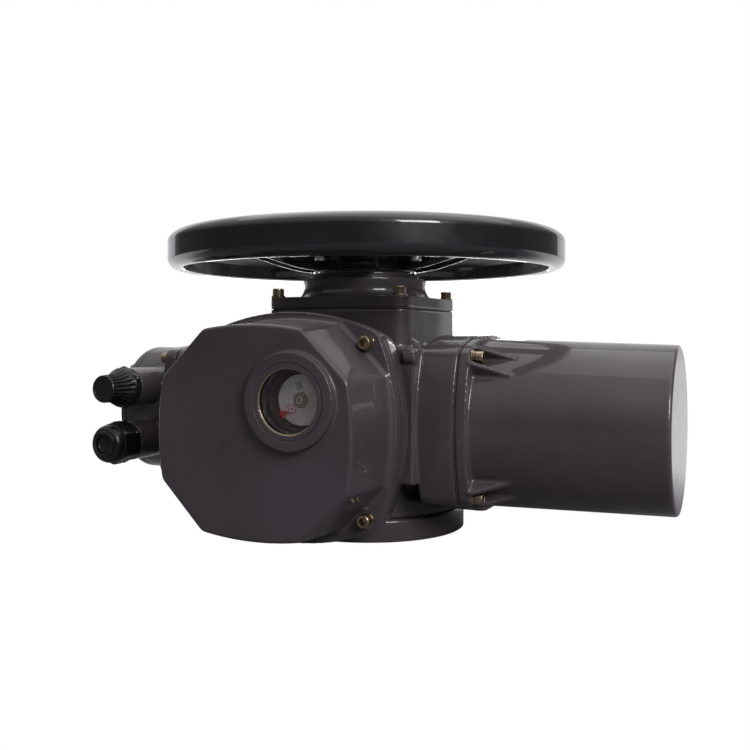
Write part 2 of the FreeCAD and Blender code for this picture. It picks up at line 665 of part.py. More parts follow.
def electrical_cover():
    """Deep eight-sided cover, bolted at its corners, with the window boss."""
    depth = COVER_FLANGE_Y - COVER_FACE_Y
    flange = prism(front_outline(), JOINT_Y - GASKET_T - COVER_FLANGE_Y,
                   (0, JOINT_Y - GASKET_T, AXIS_Z), FRONT)
    dome_z = AXIS_Z + COVER_RISE
    dome = drafted(cover_outline(COVER_ROOT_HALF), cover_outline(COVER_FACE_HALF), depth,
                   (0, COVER_FLANGE_Y, dome_z), FRONT)
    side_edges = [e for e in dome.Edges if abs(e.Vertexes[0].Y - e.Vertexes[-1].Y) > 1.0]
    dome = dome.makeFillet(COVER_CORNER_R, side_edges)
    face_edges = [e for e in dome.Edges
                  if all(abs(v.Y - COVER_FACE_Y) < 1e-4 for v in e.Vertexes)]
    dome = dome.makeFillet(COVER_EDGE_R, face_edges)
    skirt = drafted(cover_outline(COVER_ROOT_HALF + COVER_SKIRT), cover_outline(COVER_ROOT_HALF),
                    COVER_SKIRT, (0, COVER_FLANGE_Y, dome_z), FRONT)
    skirt = skirt.cut([cylinder(SPOT_FACE_R, COVER_SKIRT, p, FRONT) for p in FRONT_PLACES])
    boss = cylinder(WINDOW_BOSS_R, WINDOW_BOSS_H + 3, (WINDOW_X, COVER_FACE_Y + 3, WINDOW_Z),
                    FRONT)
    boss_front = COVER_FACE_Y - WINDOW_BOSS_H
    hollow = drafted(cover_outline(COVER_ROOT_HALF - COVER_WALL),
                     cover_outline(COVER_FACE_HALF - COVER_WALL),
                     JOINT_Y - COVER_FACE_Y - COVER_WALL, (0, JOINT_Y, dome_z), FRONT)
    seat = cylinder(WINDOW_SEAT_R, WINDOW_GLASS_BACK + WINDOW_SEAL_T,
                    (WINDOW_X, boss_front, WINDOW_Z), BACK)
    sight = cylinder(WINDOW_SIGHT_R - 1, 20, (WINDOW_X, boss_front, WINDOW_Z), BACK)
    cuts = [hollow, seat, sight] + holes(FRONT_PLACES, FRONT, 20)
    keep("electrical_cover", joined([flange, dome, skirt, boss]).cut(cuts))
    gasket = prism(front_outline(), GASKET_T, (0, JOINT_Y, AXIS_Z), FRONT)
    inner = prism(cover_outline(COVER_ROOT_HALF - COVER_WALL), 4, (0, JOINT_Y + 1, dome_z), FRONT)
    keep("cover_gasket", gasket.cut([inner] + holes(FRONT_PLACES, FRONT, 20)))
    keep("cover_screws", screw_set(FRONT_PLACES, FRONT, 26, WASHER_T))


def window():
    """Sight glass, its retaining ring and the seal behind the glass."""
    boss_front = COVER_FACE_Y - WINDOW_BOSS_H
    centre = (WINDOW_X, boss_front + WINDOW_GLASS_BACK, WINDOW_Z)
    keep("window_seal", ring(WINDOW_SEAT_R, WINDOW_SIGHT_R, WINDOW_SEAL_T, centre, BACK))
    keep("window_glass", cylinder(WINDOW_SEAT_R - 0.1, GLASS_T, centre, FRONT))
    keep("window_ring", ring(WINDOW_SEAT_R - 0.1, WINDOW_SIGHT_R, WINDOW_RING_T,
                             raised(centre, FRONT, GLASS_T), FRONT))


def motor_housing():
    """Cast motor barrel with its bolted flange and the ribs beside each bolt."""
    flange = prism(motor_outline(), MOTOR_FLANGE_X - MOTOR_JOINT_X - GASKET_T,
                   (MOTOR_JOINT_X + GASKET_T, MOTOR_Y, AXIS_Z), RIGHT)
    length = MOTOR_END_X - MOTOR_FLANGE_X
    barrel = cone(MOTOR_ROOT_R, MOTOR_TIP_R, length, (MOTOR_FLANGE_X, MOTOR_Y, AXIS_Z), RIGHT)
    end_edges = [e for e in barrel.Edges
                 if len(e.Vertexes) and all(abs(v.X - MOTOR_END_X) < 1e-4 for v in e.Vertexes)
                 and e.Curve.TypeId == "Part::GeomCircle"]
    barrel = barrel.makeFillet(BARREL_EDGE_R, end_edges)
    ribs = []
    for x, y, z in MOTOR_PLACES:
        angle = math.degrees(math.atan2(z - AXIS_Z, y - MOTOR_Y))
        for side in (-1, 1):
            rib = motor_rib()
            rib.translate(Vector(0, 0, side * (WASHER_R + 0.5 + RIB_T / 2) - RIB_T / 2))
            rib.rotate(Vector(0, 0, 0), Vector(1, 0, 0), angle)
            rib.translate(Vector(MOTOR_FLANGE_X, MOTOR_Y, AXIS_Z))
            ribs.append(rib)
    bore = cylinder(MOTOR_BORE_R, MOTOR_END_X - WALL - MOTOR_JOINT_X,
                    (MOTOR_JOINT_X, MOTOR_Y, AXIS_Z), RIGHT)
    rear_boss = ring(REAR_BOSS_R, MOTOR_BEARING_R, REAR_BOSS_L,
                     (MOTOR_END_X - WALL - REAR_BOSS_L + 2, MOTOR_Y, AXIS_Z), RIGHT)
    cuts = [bore] + holes(MOTOR_PLACES, RIGHT, 20)
    keep("motor_housing", joined([joined([flange, barrel] + ribs).cut(cuts), rear_boss]))
    gasket = prism(motor_outline(), GASKET_T, (MOTOR_JOINT_X, MOTOR_Y, AXIS_Z), RIGHT)
    gasket = gasket.cut([cylinder(MOTOR_BORE_R, 5, (MOTOR_JOINT_X - 1, MOTOR_Y, AXIS_Z), RIGHT)]
                        + holes(MOTOR_PLACES, RIGHT, 20))
    keep("motor_gasket", gasket)
    keep("motor_screws", screw_set(MOTOR_PLACES, RIGHT, 24, 2 * WASHER_T))


def motor_rib():
    """Triangular rib lying in the XY plane, from the flange face down to the barrel."""
    inner = MOTOR_TIP_R - 3
    tip = math.hypot(MOTOR_BOLT, MOTOR_BOLT) + 4
    corners = [Vector(-1, inner, 0), Vector(-1, tip, 0), Vector(1, tip, 0),
               Vector(RIB_LENGTH, MOTOR_ROOT_R - 1, 0), Vector(RIB_LENGTH, inner, 0)]
    return Part.Face(Part.makePolygon(corners + corners[:1])).extrude(Vector(0, 0, RIB_T))


def terminal_housing():
    """Round compartment for the cable terminals with two bosses for the glands."""
    flange = prism(terminal_outline(), TERMINAL_JOINT_X - GASKET_T - TERMINAL_SEAT_X,
                   (TERMINAL_JOINT_X - GASKET_T, MOTOR_Y, AXIS_Z), LEFT)
    drum = cylinder(TERMINAL_R, TERMINAL_SEAT_X - TERMINAL_COVER_X,
                    (TERMINAL_SEAT_X, MOTOR_Y, AXIS_Z), LEFT)
    bosses = [cylinder(GLAND_BOSS_R, -GLAND_SEAT_Y - 40, (x, -40, z), FRONT)
              for x, y, z in GLAND_PLACES]
    bore = cylinder(TERMINAL_BORE_R, 100, (TERMINAL_JOINT_X, MOTOR_Y, AXIS_Z), LEFT)
    entries = [cylinder(GLAND_THREAD_R, 60, (x, y, z), BACK) for x, y, z in GLAND_PLACES]
    cover_wells = holes([(TERMINAL_COVER_X, y, z) for x, y, z in terminal_cover_places()],
                        LEFT, LID_SCREW_L - 4, LID_THREAD_R)
    shell = joined([flange, drum] + bosses)
    keep("terminal_housing", shell.cut([bore] + entries + holes(TERMINAL_PLACES, LEFT, 20)
                                       + cover_wells))
    gasket = prism(terminal_outline(), GASKET_T, (TERMINAL_JOINT_X, MOTOR_Y, AXIS_Z), LEFT)
    gasket = gasket.cut([cylinder(TERMINAL_BORE_R, 5, (TERMINAL_JOINT_X + 1, MOTOR_Y, AXIS_Z),
                                  LEFT)] + holes(TERMINAL_PLACES, LEFT, 20))
    keep("terminal_gasket", gasket)
    keep("terminal_screws", screw_set(TERMINAL_PLACES, LEFT, 20, WASHER_T))


def terminal_cover_places():
    return [(TERMINAL_END_X, MOTOR_Y + y, AXIS_Z + z)
            for y, z, height in circle_places(LID_SCREW_R, 0, 4, 45)]


def terminal_cover():
    """Round end cover of the terminal compartment."""
    disc = cylinder(TERMINAL_R, TERMINAL_COVER_X - TERMINAL_END_X,
                    (TERMINAL_COVER_X, MOTOR_Y, AXIS_Z), LEFT)
    places = terminal_cover_places()
    keep("terminal_cover", disc.cut(holes(places, LEFT, 10, LID_THREAD_R)))
    keep("terminal_cover_screws", [cap_screw(p, LEFT, LID_SCREW_L, LID_THREAD_R, *LID_HEAD)
                                   for p in places])


# ---------------------------------------------------------------- cable glands
def gland_body(place, flange_r):
    """Threaded gland body with its hexagon, standing on a seal ring."""
    seat = raised(place, FRONT, GLAND_SEAL_T)
    nut = prism(hexagon(GLAND_FLATS), GLAND_NUT_H, seat, FRONT)
    nut = nut.common(cone(19.2, 17.6, GLAND_NUT_H, seat, FRONT))
    thread = cylinder(GLAND_THREAD_R - 0.05, 16, seat, BACK)
    collar = cylinder(flange_r, GLAND_COLLAR_T, seat, FRONT)
    neck = cylinder(GLAND_NECK_R, GLAND_NECK_L, raised(seat, FRONT, GLAND_NUT_H - 1), FRONT)
    cable_way = cylinder(GLAND_WAY_R, 60, raised(seat, BACK, 20), FRONT)
    return joined([nut, thread, collar, neck]).cut(cable_way)


def ribbed_cap(start, reach):
    """Flared blanking cap with grooves towards its tip."""
    flare = cone(CAP_ROOT_R, CAP_TIP_R, CAP_FLARE_L, start, FRONT)
    tip = cylinder(CAP_TIP_R, reach - CAP_FLARE_L, raised(start, FRONT, CAP_FLARE_L), FRONT)
    grooves = []
    for x, z, height in circle_places(CAP_GROOVE_CIRCLE_R, 0, CAP_GROOVES):
        spot = raised((start[0] + x, start[1], start[2] + z), FRONT, 6)
        grooves.append(cylinder(CAP_GROOVE_R, reach, spot, FRONT))
    hollow = cylinder(GLAND_NECK_R + RUNNING_GAP, GLAND_NECK_L, start, FRONT)
    return joined([flare, tip]).cut(grooves + [hollow])


def dome_nut(start, reach):
    """Hexagon nut that ends in a dome, open at its tip for the plug."""
    nut = prism(hexagon(GLAND_FLATS), DOME_NUT_H, start, FRONT)
    nut = nut.common(cone(19, 17.6, DOME_NUT_H, start, FRONT))
    dome = cone(DOME_ROOT_R, DOME_TIP_R, reach - DOME_NUT_H, raised(start, FRONT, DOME_NUT_H),
                FRONT)
    opening = cylinder(PLUG_R + 0.1, reach, raised(start, FRONT, GLAND_NECK_L - 4), FRONT)
    hollow = cylinder(GLAND_NECK_R + RUNNING_GAP, PLUG_START, start, FRONT)
    return joined([nut, dome]).cut([hollow, opening])


def glands():
    upper, lower = GLAND_PLACES
    keep("upper_gland_body", gland_body(upper, 17.2))
    keep("lower_gland_body", gland_body(lower, 16.4))
    keep("gland_seals", [ring(GLAND_SEAL_R, GLAND_THREAD_R, GLAND_SEAL_T, p, FRONT)
                         for p in GLAND_PLACES])
    reach = GLAND_SEAT_Y - GLAND_TIP_Y - GLAND_CAP_START
    keep("upper_gland_cap", ribbed_cap(raised(upper, FRONT, GLAND_CAP_START), reach))
    start = raised(lower, FRONT, GLAND_CAP_START)
    keep("lower_gland_nut", dome_nut(start, reach))
    keep("lower_gland_plug", cylinder(PLUG_R, PLUG_L, raised(start, FRONT, PLUG_START), FRONT))
    keep("gland_inserts", [ring(GLAND_WAY_R - 0.05, 4.5, 14, raised(p, FRONT, 4), FRONT)
                           for p in GLAND_PLACES])


# ---------------------------------------------------------------- motor inside
def motor_inside():
    shield = cylinder(MOTOR_BORE_R - 0.1, SHIELD_T, (SHIELD_X, MOTOR_Y, AXIS_Z), RIGHT)
    shield = shield.cut([cylinder(MOTOR_BEARING_R, SHIELD_T, (SHIELD_X + 2, MOTOR_Y, AXIS_Z),
                                  RIGHT),
                         cylinder(ROTOR_SHAFT_R, 20, (MOTOR_JOINT_X, MOTOR_Y, AXIS_Z), RIGHT)])
    keep("motor_end_shield", shield)
    keep("stator_core", ring(MOTOR_BORE_R - 0.1, STATOR_BORE_R, STATOR_L,
                             (STATOR_X, MOTOR_Y, AXIS_Z), RIGHT))
    outer, inner = WINDING_R
    starts = (STATOR_X - WINDING_L - WINDING_GAP, STATOR_X + STATOR_L + WINDING_GAP)
    keep("stator_windings", [ring(outer, inner, WINDING_L, (x, MOTOR_Y, AXIS_Z), RIGHT)
                             for x in starts])
    keep("rotor_core", ring(ROTOR_R, ROTOR_SHAFT_R, STATOR_L, (STATOR_X, MOTOR_Y, AXIS_Z),
                            RIGHT))
    front = cylinder(MOTOR_SHAFT_R, 60, (MOTOR_JOINT_X - 22, MOTOR_Y, AXIS_Z), RIGHT)
    middle = cylinder(ROTOR_SHAFT_R, 110, (136, MOTOR_Y, AXIS_Z), RIGHT)
    rear = cylinder(MOTOR_SHAFT_R, 28, (232, MOTOR_Y, AXIS_Z), RIGHT)
    tail = cylinder(PINION_SHAFT_R, SPUR_WIDTH, (PINION_X, MOTOR_Y, AXIS_Z), RIGHT)
    keep("rotor_shaft", joined([front, middle, rear, tail]))
    bearing_starts = (SHIELD_X + 2.5, MOTOR_END_X - WALL - SHIELD_T)
    keep("motor_bearings", [bearing(MOTOR_SHAFT_R + RUNNING_GAP, MOTOR_BEARING_R,
                                    MOTOR_BEARING_W, (x, MOTOR_Y, AXIS_Z), RIGHT)
                            for x in bearing_starts])
    teeth = involute_outline(PINION_TEETH, SPUR_MODULE, PINION_TIP_R, PINION_ROOT_R, SPUR_SLACK)
    pinion = prism(teeth, SPUR_WIDTH, (PINION_X, MOTOR_Y, AXIS_Z), RIGHT)
    bore = cylinder(PINION_SHAFT_R, SPUR_WIDTH + 8, (PINION_X - 2, MOTOR_Y, AXIS_Z), RIGHT)
    keep("motor_pinion", pinion.cut(bore))


# ---------------------------------------------------------------- worm drive
def worm_drive():
    pitch = math.pi * WORM_MODULE
    start_x = -WORM_TURNS / 2 * pitch
    helix = Part.makeHelix(pitch, WORM_TURNS * pitch, WORM_PITCH_R)
    inner_r = WORM_ROOT_R - 0.6
    slope = math.tan(PRESSURE_ANGLE)
    half_pitch_width = pitch / 4 - WORM_SLACK

    def half_width(radius):
        return half_pitch_width - (radius - WORM_PITCH_R) * slope

    corners = [Vector(inner_r, 0, -half_width(inner_r)),
               Vector(WORM_TIP_R, 0, -half_width(WORM_TIP_R)),
               Vector(WORM_TIP_R, 0, half_width(WORM_TIP_R)),
               Vector(inner_r, 0, half_width(inner_r))]
    profile = Part.makePolygon(corners + corners[:1])
    thread = Part.Wire(helix.Edges).makePipeShell([profile], True, True)
    core = cylinder(WORM_ROOT_R, (WORM_TURNS + 1.5) * pitch, (0, 0, -0.75 * pitch))
    left = cylinder(WORM_SHAFT_R, 50, (0, 0, -73.5 - start_x))
    right = cylinder(WORM_SHAFT_R, 80, (0, 0, MOTOR_JOINT_X - 20 - start_x - 80))
    shaft = joined([core, left, right]).fuse(thread)
    keep("worm_shaft", turned(shaft, (start_x, WORM_Y, AXIS_Z), RIGHT))
    teeth = involute_outline(GEAR_TEETH, SPUR_MODULE, GEAR_TIP_R, GEAR_ROOT_R, SPUR_SLACK)
    gear = prism(teeth, SPUR_WIDTH, (PINION_X, WORM_Y, AXIS_Z), RIGHT)
    bore = cylinder(WORM_SHAFT_R, 20, (PINION_X - 2, WORM_Y, AXIS_Z), RIGHT)
    keep("worm_shaft_gear", gear.cut(bore))
    inner = WORM_SHAFT_R + RUNNING_GAP
    outer, end_x = WORM_END_BEARING
    keep("worm_bearings", [
        bearing(inner, outer, WORM_BEARING_W, (end_x + 1, WORM_Y, AXIS_Z), RIGHT),
        bearing(inner, WORM_TUNNEL_R, WORM_BEARING_W, (58, WORM_Y, AXIS_Z), RIGHT)])


def worm_wheel():
    """Bronze wheel whose teeth lean with the worm's lead."""
    lead = WORM_MODULE / 2 / WORM_PITCH_R
    pitch_r = WHEEL_TEETH * WORM_MODULE / 2
    twist = WHEEL_WIDTH * lead / pitch_r
    facing_gap = -math.pi / 2 + math.pi / WHEEL_TEETH
    outlines = [involute_outline(WHEEL_TEETH, WORM_MODULE, pitch_r + 1.6, pitch_r - 2.5, 0.22,
                                 facing_gap + side * twist / 2) for side in (-1, 1)]
    wheel = drafted(outlines[0], outlines[1], WHEEL_WIDTH, (0, 0, AXIS_Z - WHEEL_WIDTH / 2), UP)
    keep("worm_wheel", wheel.cut(cylinder(SLEEVE_R, 40, (0, 0, AXIS_Z - 20))))


# ---------------------------------------------------------------- output
def output_drive():
    """Hollow drive sleeve with its stem nut, bearings, seal and the clutch ring on top."""
    foot = cylinder(SLEEVE_FOOT_R, 12, (0, 0, SLEEVE_FOOT_Z))
    lower = cylinder(SLEEVE_R, UPPER_BEARING_Z + UPPER_BEARING_W - FLANGE_T, (0, 0, FLANGE_T))
    upper = cylinder(SLEEVE_TOP_R, SLEEVE_TOP - UPPER_BEARING_Z, (0, 0, UPPER_BEARING_Z))
    collar = cylinder(SLEEVE_COLLAR_R, SLEEVE_COLLAR_T, (0, 0, AXIS_Z + WHEEL_WIDTH / 2))
    sleeve = joined([foot, lower, upper, collar])
    cuts = [cylinder(SLEEVE_BORE_R, 300, (0, 0, 0)), cylinder(STEM_NUT_R, STEM_NUT_TOP, (0, 0, 0))]
    keep("drive_sleeve", sleeve.cut(cuts))
    nut = ring(STEM_NUT_R, STEM_BORE_R, STEM_NUT_TOP - SLEEVE_FOOT_Z, (0, 0, SLEEVE_FOOT_Z))
    keep("stem_nut", nut)
    keep("thrust_bearing", bearing(SLEEVE_R + RUNNING_GAP, THRUST_SEAT_R, THRUST_BEARING_W,
                                   (0, 0, FLANGE_T + 0.7), UP))
    keep("upper_bearing", bearing(SLEEVE_R + RUNNING_GAP, NECK_BORE_R, UPPER_BEARING_W,
                                  (0, 0, UPPER_BEARING_Z), UP))
    keep("output_seal", ring(BASE_SEAL_R, SLEEVE_FOOT_R + RUNNING_GAP, OUTPUT_SEAL_W,
                             (0, 0, SPIGOT_DEPTH), UP))
    clutch = ring(CLUTCH_R, SLEEVE_TOP_R + RUNNING_GAP, CLUTCH_RING_T, (0, 0, CLUTCH_Z))
    keep("clutch_ring", joined([clutch] + claw_ring(CLUTCH_Z + CLUTCH_RING_T, CLAW_H)))


def claw_ring(start_z, height):
    """Four claws standing on a ring."""
    inner, outer = CLAW_R
    claws = []
    for i in range(4):
        sector = Part.makeCylinder(outer, height, Vector(0, 0, start_z), Vector(0, 0, 1),
                                   2 * CLAW_HALF_ANGLE)
        sector = sector.cut(cylinder(inner, height, (0, 0, start_z)))
        sector.rotate(Vector(0, 0, 0), Vector(0, 0, 1), 90 * i - CLAW_HALF_ANGLE)
        claws.append(sector)
    return claws


# ---------------------------------------------------------------- handwheel
def rim():
    """Tall rim: rounded outside, flat inside, with a sharp lower edge on the inside."""
    centre_r, centre_z = RIM_LOW_CENTRE

    def on_curve(degrees):
        angle = math.radians(degrees)
        return Vector(centre_r + RIM_LOW_R * math.cos(angle), 0,
                      centre_z + RIM_LOW_R * math.sin(angle))

    edge = on_curve(-120)
    crown_centre = Vector(RIM_CROWN_R, 0, RIM_SHOULDER_Z)
    crown = Vector(RIM_CROWN_R, 0, RIM_TOP)
    shoulder = Vector(WHEEL_R, 0, RIM_SHOULDER_Z)
    inside = [crown, Vector(RIM_INNER_R + 1, 0, RIM_TOP - 1.5), Vector(RIM_INNER_R, 0, RIM_TOP - 5),
              Vector(RIM_INNER_R, 0, RIM_SHOULDER_Z), Vector(edge.x, 0, RIM_SHOULDER_Z - 7), edge]
    outline = [Part.Arc(edge, on_curve(-60), on_curve(0)).toShape(),
               Part.makeLine(on_curve(0), shoulder),
               Part.ArcOfEllipse(Part.Ellipse(shoulder, crown, crown_centre),
                                 0, math.pi / 2).toShape()]
    outline += Part.makePolygon(inside).Edges
    face = Part.Face(Part.Wire(Part.__sortEdges__(outline)))
    return face.revolve(Vector(0, 0, 0), Vector(0, 0, 1), 360)


def spoke():
    """Spoke along +X that climbs from under the hub plate to the top of the rim."""
    side = [Vector(r, 0, z) for r, z in SPOKE_UNDERSIDE + SPOKE_TOP]
    blade = Part.Face(Part.makePolygon(side + side[:1])).extrude(Vector(0, SPOKE_WIDTH, 0))
    blade.translate(Vector(0, -SPOKE_WIDTH / 2, 0))
    return blade


def handwheel():
    spokes = []
    for i in range(SPOKES):
        arm = spoke()
        arm.rotate(Vector(0, 0, 0), Vector(0, 0, 1), SPOKE_PHASE + 360 / SPOKES * i)
        spokes.append(arm)
    hub = cylinder(HUB_R, HUB_TOP - HUB_BOTTOM, (0, 0, HUB_BOTTOM))
    wheel = joined([hub, rim()] + spokes)
    keep("handwheel", wheel.cut(cylinder(HUB_BORE_R, 60, (0, 0, 200))))
    claws = claw_ring(CUP_CLAW_Z, HUB_BOTTOM - CUP_CLAW_Z)
    for claw in claws:
        claw.rotate(Vector(0, 0, 0), Vector(0, 0, 1), 45)
    plate = ring(CLUTCH_R, HUB_BORE_R, CUP_PLATE_T, (0, 0, HUB_BOTTOM - CUP_PLATE_T))
    keep("clutch_cup", joined([plate] + claws))
    keep("handwheel_bush", ring(HUB_BORE_R, SLEEVE_TOP_R + RUNNING_GAP, HUB_TOP - HUB_BOTTOM,
                                (0, 0, HUB_BOTTOM)))
    screw_places = circle_places(HUB_SCREW_R, HUB_TOP, SPOKES, HUB_SCREW_PHASE)
    hub_plate = ring(HUB_PLATE_R, HUB_PLATE_BORE_R, HUB_PLATE_T, (0, 0, HUB_TOP))
    keep("hub_plate", hub_plate.cut(holes(screw_places, DOWN, HUB_PLATE_T)))
    keep("hub_screws", [cap_screw(p, DOWN, HUB_PLATE_T - 0.5) for p in screw_places])
    cap_bottom = HUB_TOP + HUB_PLATE_T
    cap = cylinder(STEM_CAP_R, STEM_CAP_H, (0, 0, cap_bottom))
    top_edge = [e for e in cap.Edges if abs(e.CenterOfMass.z - cap_bottom - STEM_CAP_H) < 0.1]
    bore_r, bore_depth = STEM_CAP_BORE
    cap = cap.makeFillet(STEM_CAP_EDGE_R, top_edge)
    keep("stem_cap", cap.cut(cylinder(bore_r, bore_depth, (0, 0, cap_bottom))))


# ---------------------------------------------------------------- electrical inside
def electrical_inside():
    """Mounting plate on posts with the position counter, limit switches and board."""
    plate_back = BULKHEAD_Y - POST_L
    front = plate_back - PLATE_T
    plate = box((-PLATE_HALF, front, AXIS_Z - PLATE_HALF),
                (PLATE_HALF, plate_back, AXIS_Z + PLATE_HALF))
    posts = [cylinder(POST_R, POST_L, p, FRONT)
             for p in corner_places((0, BULKHEAD_Y, AXIS_Z), POST_REACH, FRONT)]
    keep("control_plate", joined([plate] + posts))
    position_counter(front, front - COUNTER_DEPTH)
    low, high = SWITCH_X
    floors = [AXIS_Z - 44 + SWITCH_PITCH * i for i in range(4)]
    keep("limit_switches", [box((low, front - SWITCH_DEPTH, z), (high, front, z + SWITCH_H))
                            for z in floors])
    keep("control_board", box((BOARD_X[0], front - BOARD_T, AXIS_Z + BOARD_Z[0]),
                              (BOARD_X[1], front, AXIS_Z + BOARD_Z[1])))


def position_counter(back_y, front_y):
    """Gear box of the position dial, with the tube round the dial, the shaft and the disc."""
    counter = box((WINDOW_X - COUNTER_LEFT, front_y, WINDOW_Z - COUNTER_HALF_H),
                  (WINDOW_X + COUNTER_RIGHT, back_y, WINDOW_Z + COUNTER_HALF_H))
    centre = (WINDOW_X, front_y, WINDOW_Z)
    bezel_floor = cylinder(BEZEL_R, BEZEL_FLOOR, centre, FRONT)
    bezel = ring(BEZEL_R, BEZEL_R - BEZEL_T, front_y - BEZEL_FRONT_Y, centre, FRONT)
    bush_hole = cylinder(DIAL_SHAFT_R + RUNNING_GAP, SHAFT_IN_COUNTER + 12,
                         (WINDOW_X, front_y - 10, WINDOW_Z), BACK)
    keep("position_counter", joined([counter, bezel_floor, bezel]).cut(bush_hole))
    shaft_start = front_y + SHAFT_IN_COUNTER
    keep("dial_shaft", cylinder(DIAL_SHAFT_R, shaft_start - DIAL_Y,
                                (WINDOW_X, shaft_start, WINDOW_Z), FRONT))
    screw_r, screw_length = DIAL_SCREW
    disc = cylinder(DIAL_R, DIAL_T, (WINDOW_X, DIAL_Y, WINDOW_Z), FRONT)
    keep("position_dial", disc.cut(cylinder(screw_r, 10, (WINDOW_X, DIAL_Y - 5, WINDOW_Z), BACK)))
    keep("dial_screw", cap_screw((WINDOW_X, DIAL_Y - DIAL_T, WINDOW_Z), FRONT, screw_length,
                                 screw_r, *DIAL_SCREW_HEAD))


def terminal_strip():
    """Terminal block with one slot and two clamp screws for each way."""
    block = box((BLOCK_FRONT_X, MOTOR_Y - BLOCK_HALF_Y, AXIS_Z - BLOCK_HALF_Z),
                (TERMINAL_FLOOR_X, MOTOR_Y + BLOCK_HALF_Y, AXIS_Z + BLOCK_HALF_Z))
    slot_floor = BLOCK_FRONT_X + WAY_DEPTH
    starts = [MOTOR_Y - WAY_PITCH * TERMINAL_WAYS / 2 + WAY_PITCH * i for i in range(TERMINAL_WAYS)]
    slots = [box((BLOCK_FRONT_X, y, AXIS_Z - WAY_HALF_Z),
                 (slot_floor, y + WAY_WIDTH, AXIS_Z + WAY_HALF_Z)) for y in starts]
    keep("terminal_block", block.cut(slots))
    screw_r, screw_length = CLAMP_SCREW
    keep("terminal_clamp_screws",
         [cylinder(screw_r, screw_length, (slot_floor, y + WAY_WIDTH / 2, AXIS_Z + side * 5), LEFT)
          for y in starts for side in (-1, 1)])


for build in (washers, main_housing, mounting_base, top_cover, electrical_cover, window,
              motor_housing, terminal_housing, terminal_cover, glands, motor_inside, worm_drive,
              worm_wheel, output_drive, handwheel, electrical_inside, terminal_strip):
    build()

for name, shape in nodes.items():
    shape.exportStep("parts/" + name + ".step")
    print(name, shape.ShapeType, len(shape.Solids), round(shape.Volume / 1000, 1), shape.isValid())
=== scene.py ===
import json
import math

import bpy
import numpy as np
from mathutils import Matrix, Vector


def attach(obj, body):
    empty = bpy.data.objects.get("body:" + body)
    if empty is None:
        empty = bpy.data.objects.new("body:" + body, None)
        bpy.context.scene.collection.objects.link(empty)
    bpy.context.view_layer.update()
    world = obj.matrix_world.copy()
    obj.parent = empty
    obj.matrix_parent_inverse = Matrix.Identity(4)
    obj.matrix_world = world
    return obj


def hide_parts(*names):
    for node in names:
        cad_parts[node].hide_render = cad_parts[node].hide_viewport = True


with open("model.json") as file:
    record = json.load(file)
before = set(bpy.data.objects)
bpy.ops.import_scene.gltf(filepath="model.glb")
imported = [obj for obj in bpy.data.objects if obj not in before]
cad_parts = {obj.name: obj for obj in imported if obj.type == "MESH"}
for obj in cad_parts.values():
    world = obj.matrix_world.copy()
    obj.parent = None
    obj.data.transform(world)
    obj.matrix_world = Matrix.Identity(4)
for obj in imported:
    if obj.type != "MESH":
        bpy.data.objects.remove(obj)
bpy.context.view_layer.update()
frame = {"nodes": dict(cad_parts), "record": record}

MM = 0.001

# Places and sizes in millimetres, in the part's own frame
AXIS_Z = 96.5
MOTOR_Y = -21.5
WINDOW = (33.8, -204.0, 121.2)
UP, DOWN = (0, 0, 1), (0, 0, -1)
FRONT = (0, -1, 0)
RIGHT, LEFT = (1, 0, 0), (-1, 0, 0)


COVER_FLANGE_Y = -139.0        # where the front cover's screws stand
MOTOR_FLANGE_X = 124.6
MOTOR_END_X = 268.8
TERMINAL_FLANGE_X = -162.0
TERMINAL_END_X = -205.0
BONNET_Z = 199.4

# ---------------------------------------------------------------- camera, lights and floor
CAMERA_AZIMUTH = math.radians(24.25)      # the camera stands to the right of the front
CAMERA_DISTANCE = 0.8128
CAMERA_HEIGHT = 0.1671
CAMERA_TURN = math.radians(2.08)          # the lens points this much left of the output axis
CAMERA_ROLL = math.radians(-0.23)
LENS = 43.26
SHIFT = (0.0576, -0.0536)


def camera():
    data = bpy.data.cameras.new("camera")
    data.lens = LENS
    data.sensor_width = 36.0
    data.shift_x, data.shift_y = SHIFT
    data.clip_start = 0.01
    data.dof.use_dof = False
    eye = bpy.data.objects.new("camera", data)
    bpy.context.scene.collection.objects.link(eye)
    eye.location = (CAMERA_DISTANCE * math.sin(CAMERA_AZIMUTH),
                    -CAMERA_DISTANCE * math.cos(CAMERA_AZIMUTH), CAMERA_HEIGHT)
    eye.rotation_euler = (math.pi / 2, CAMERA_ROLL, CAMERA_AZIMUTH + CAMERA_TURN)
    bpy.context.scene.camera = eye


def area_light(name, place, target, size, power):
    data = bpy.data.lights.new(name, "AREA")
    data.shape = "RECTANGLE"
    data.size, data.size_y = size
    data.energy = power
    lamp = bpy.data.objects.new(name, data)
    bpy.context.scene.collection.objects.link(lamp)
    lamp.location = place
    aim = Vector(target) - Vector(place)
    lamp.rotation_euler = aim.to_track_quat("-Z", "Y").to_euler()
    lamp.visible_camera = False


BACKDROP_HALF_ANGLE = math.radians(43.7)
BACKDROP = (-math.sin(CAMERA_AZIMUTH), math.cos(CAMERA_AZIMUTH), 0.0)


def math_node(tree, operation, first, second):
    """One arithmetic step in a node tree; each operand is a number or an output."""
    node = tree.nodes.new("ShaderNodeMath")
    node.operation = operation
    for socket, value in zip(node.inputs, (first, second)):
        if isinstance(value, (int, float)):
            socket.default_value = value
        else:
            tree.links.new(value, socket)
    return node.outputs[0]


def eased(tree, value, low, high):
    node = tree.nodes.new("ShaderNodeMapRange")
    node.interpolation_type = "SMOOTHSTEP"
    node.inputs["From Min"].default_value = low
    node.inputs["From Max"].default_value = high
    tree.links.new(value, node.inputs["Value"])
    return node.outputs["Result"]


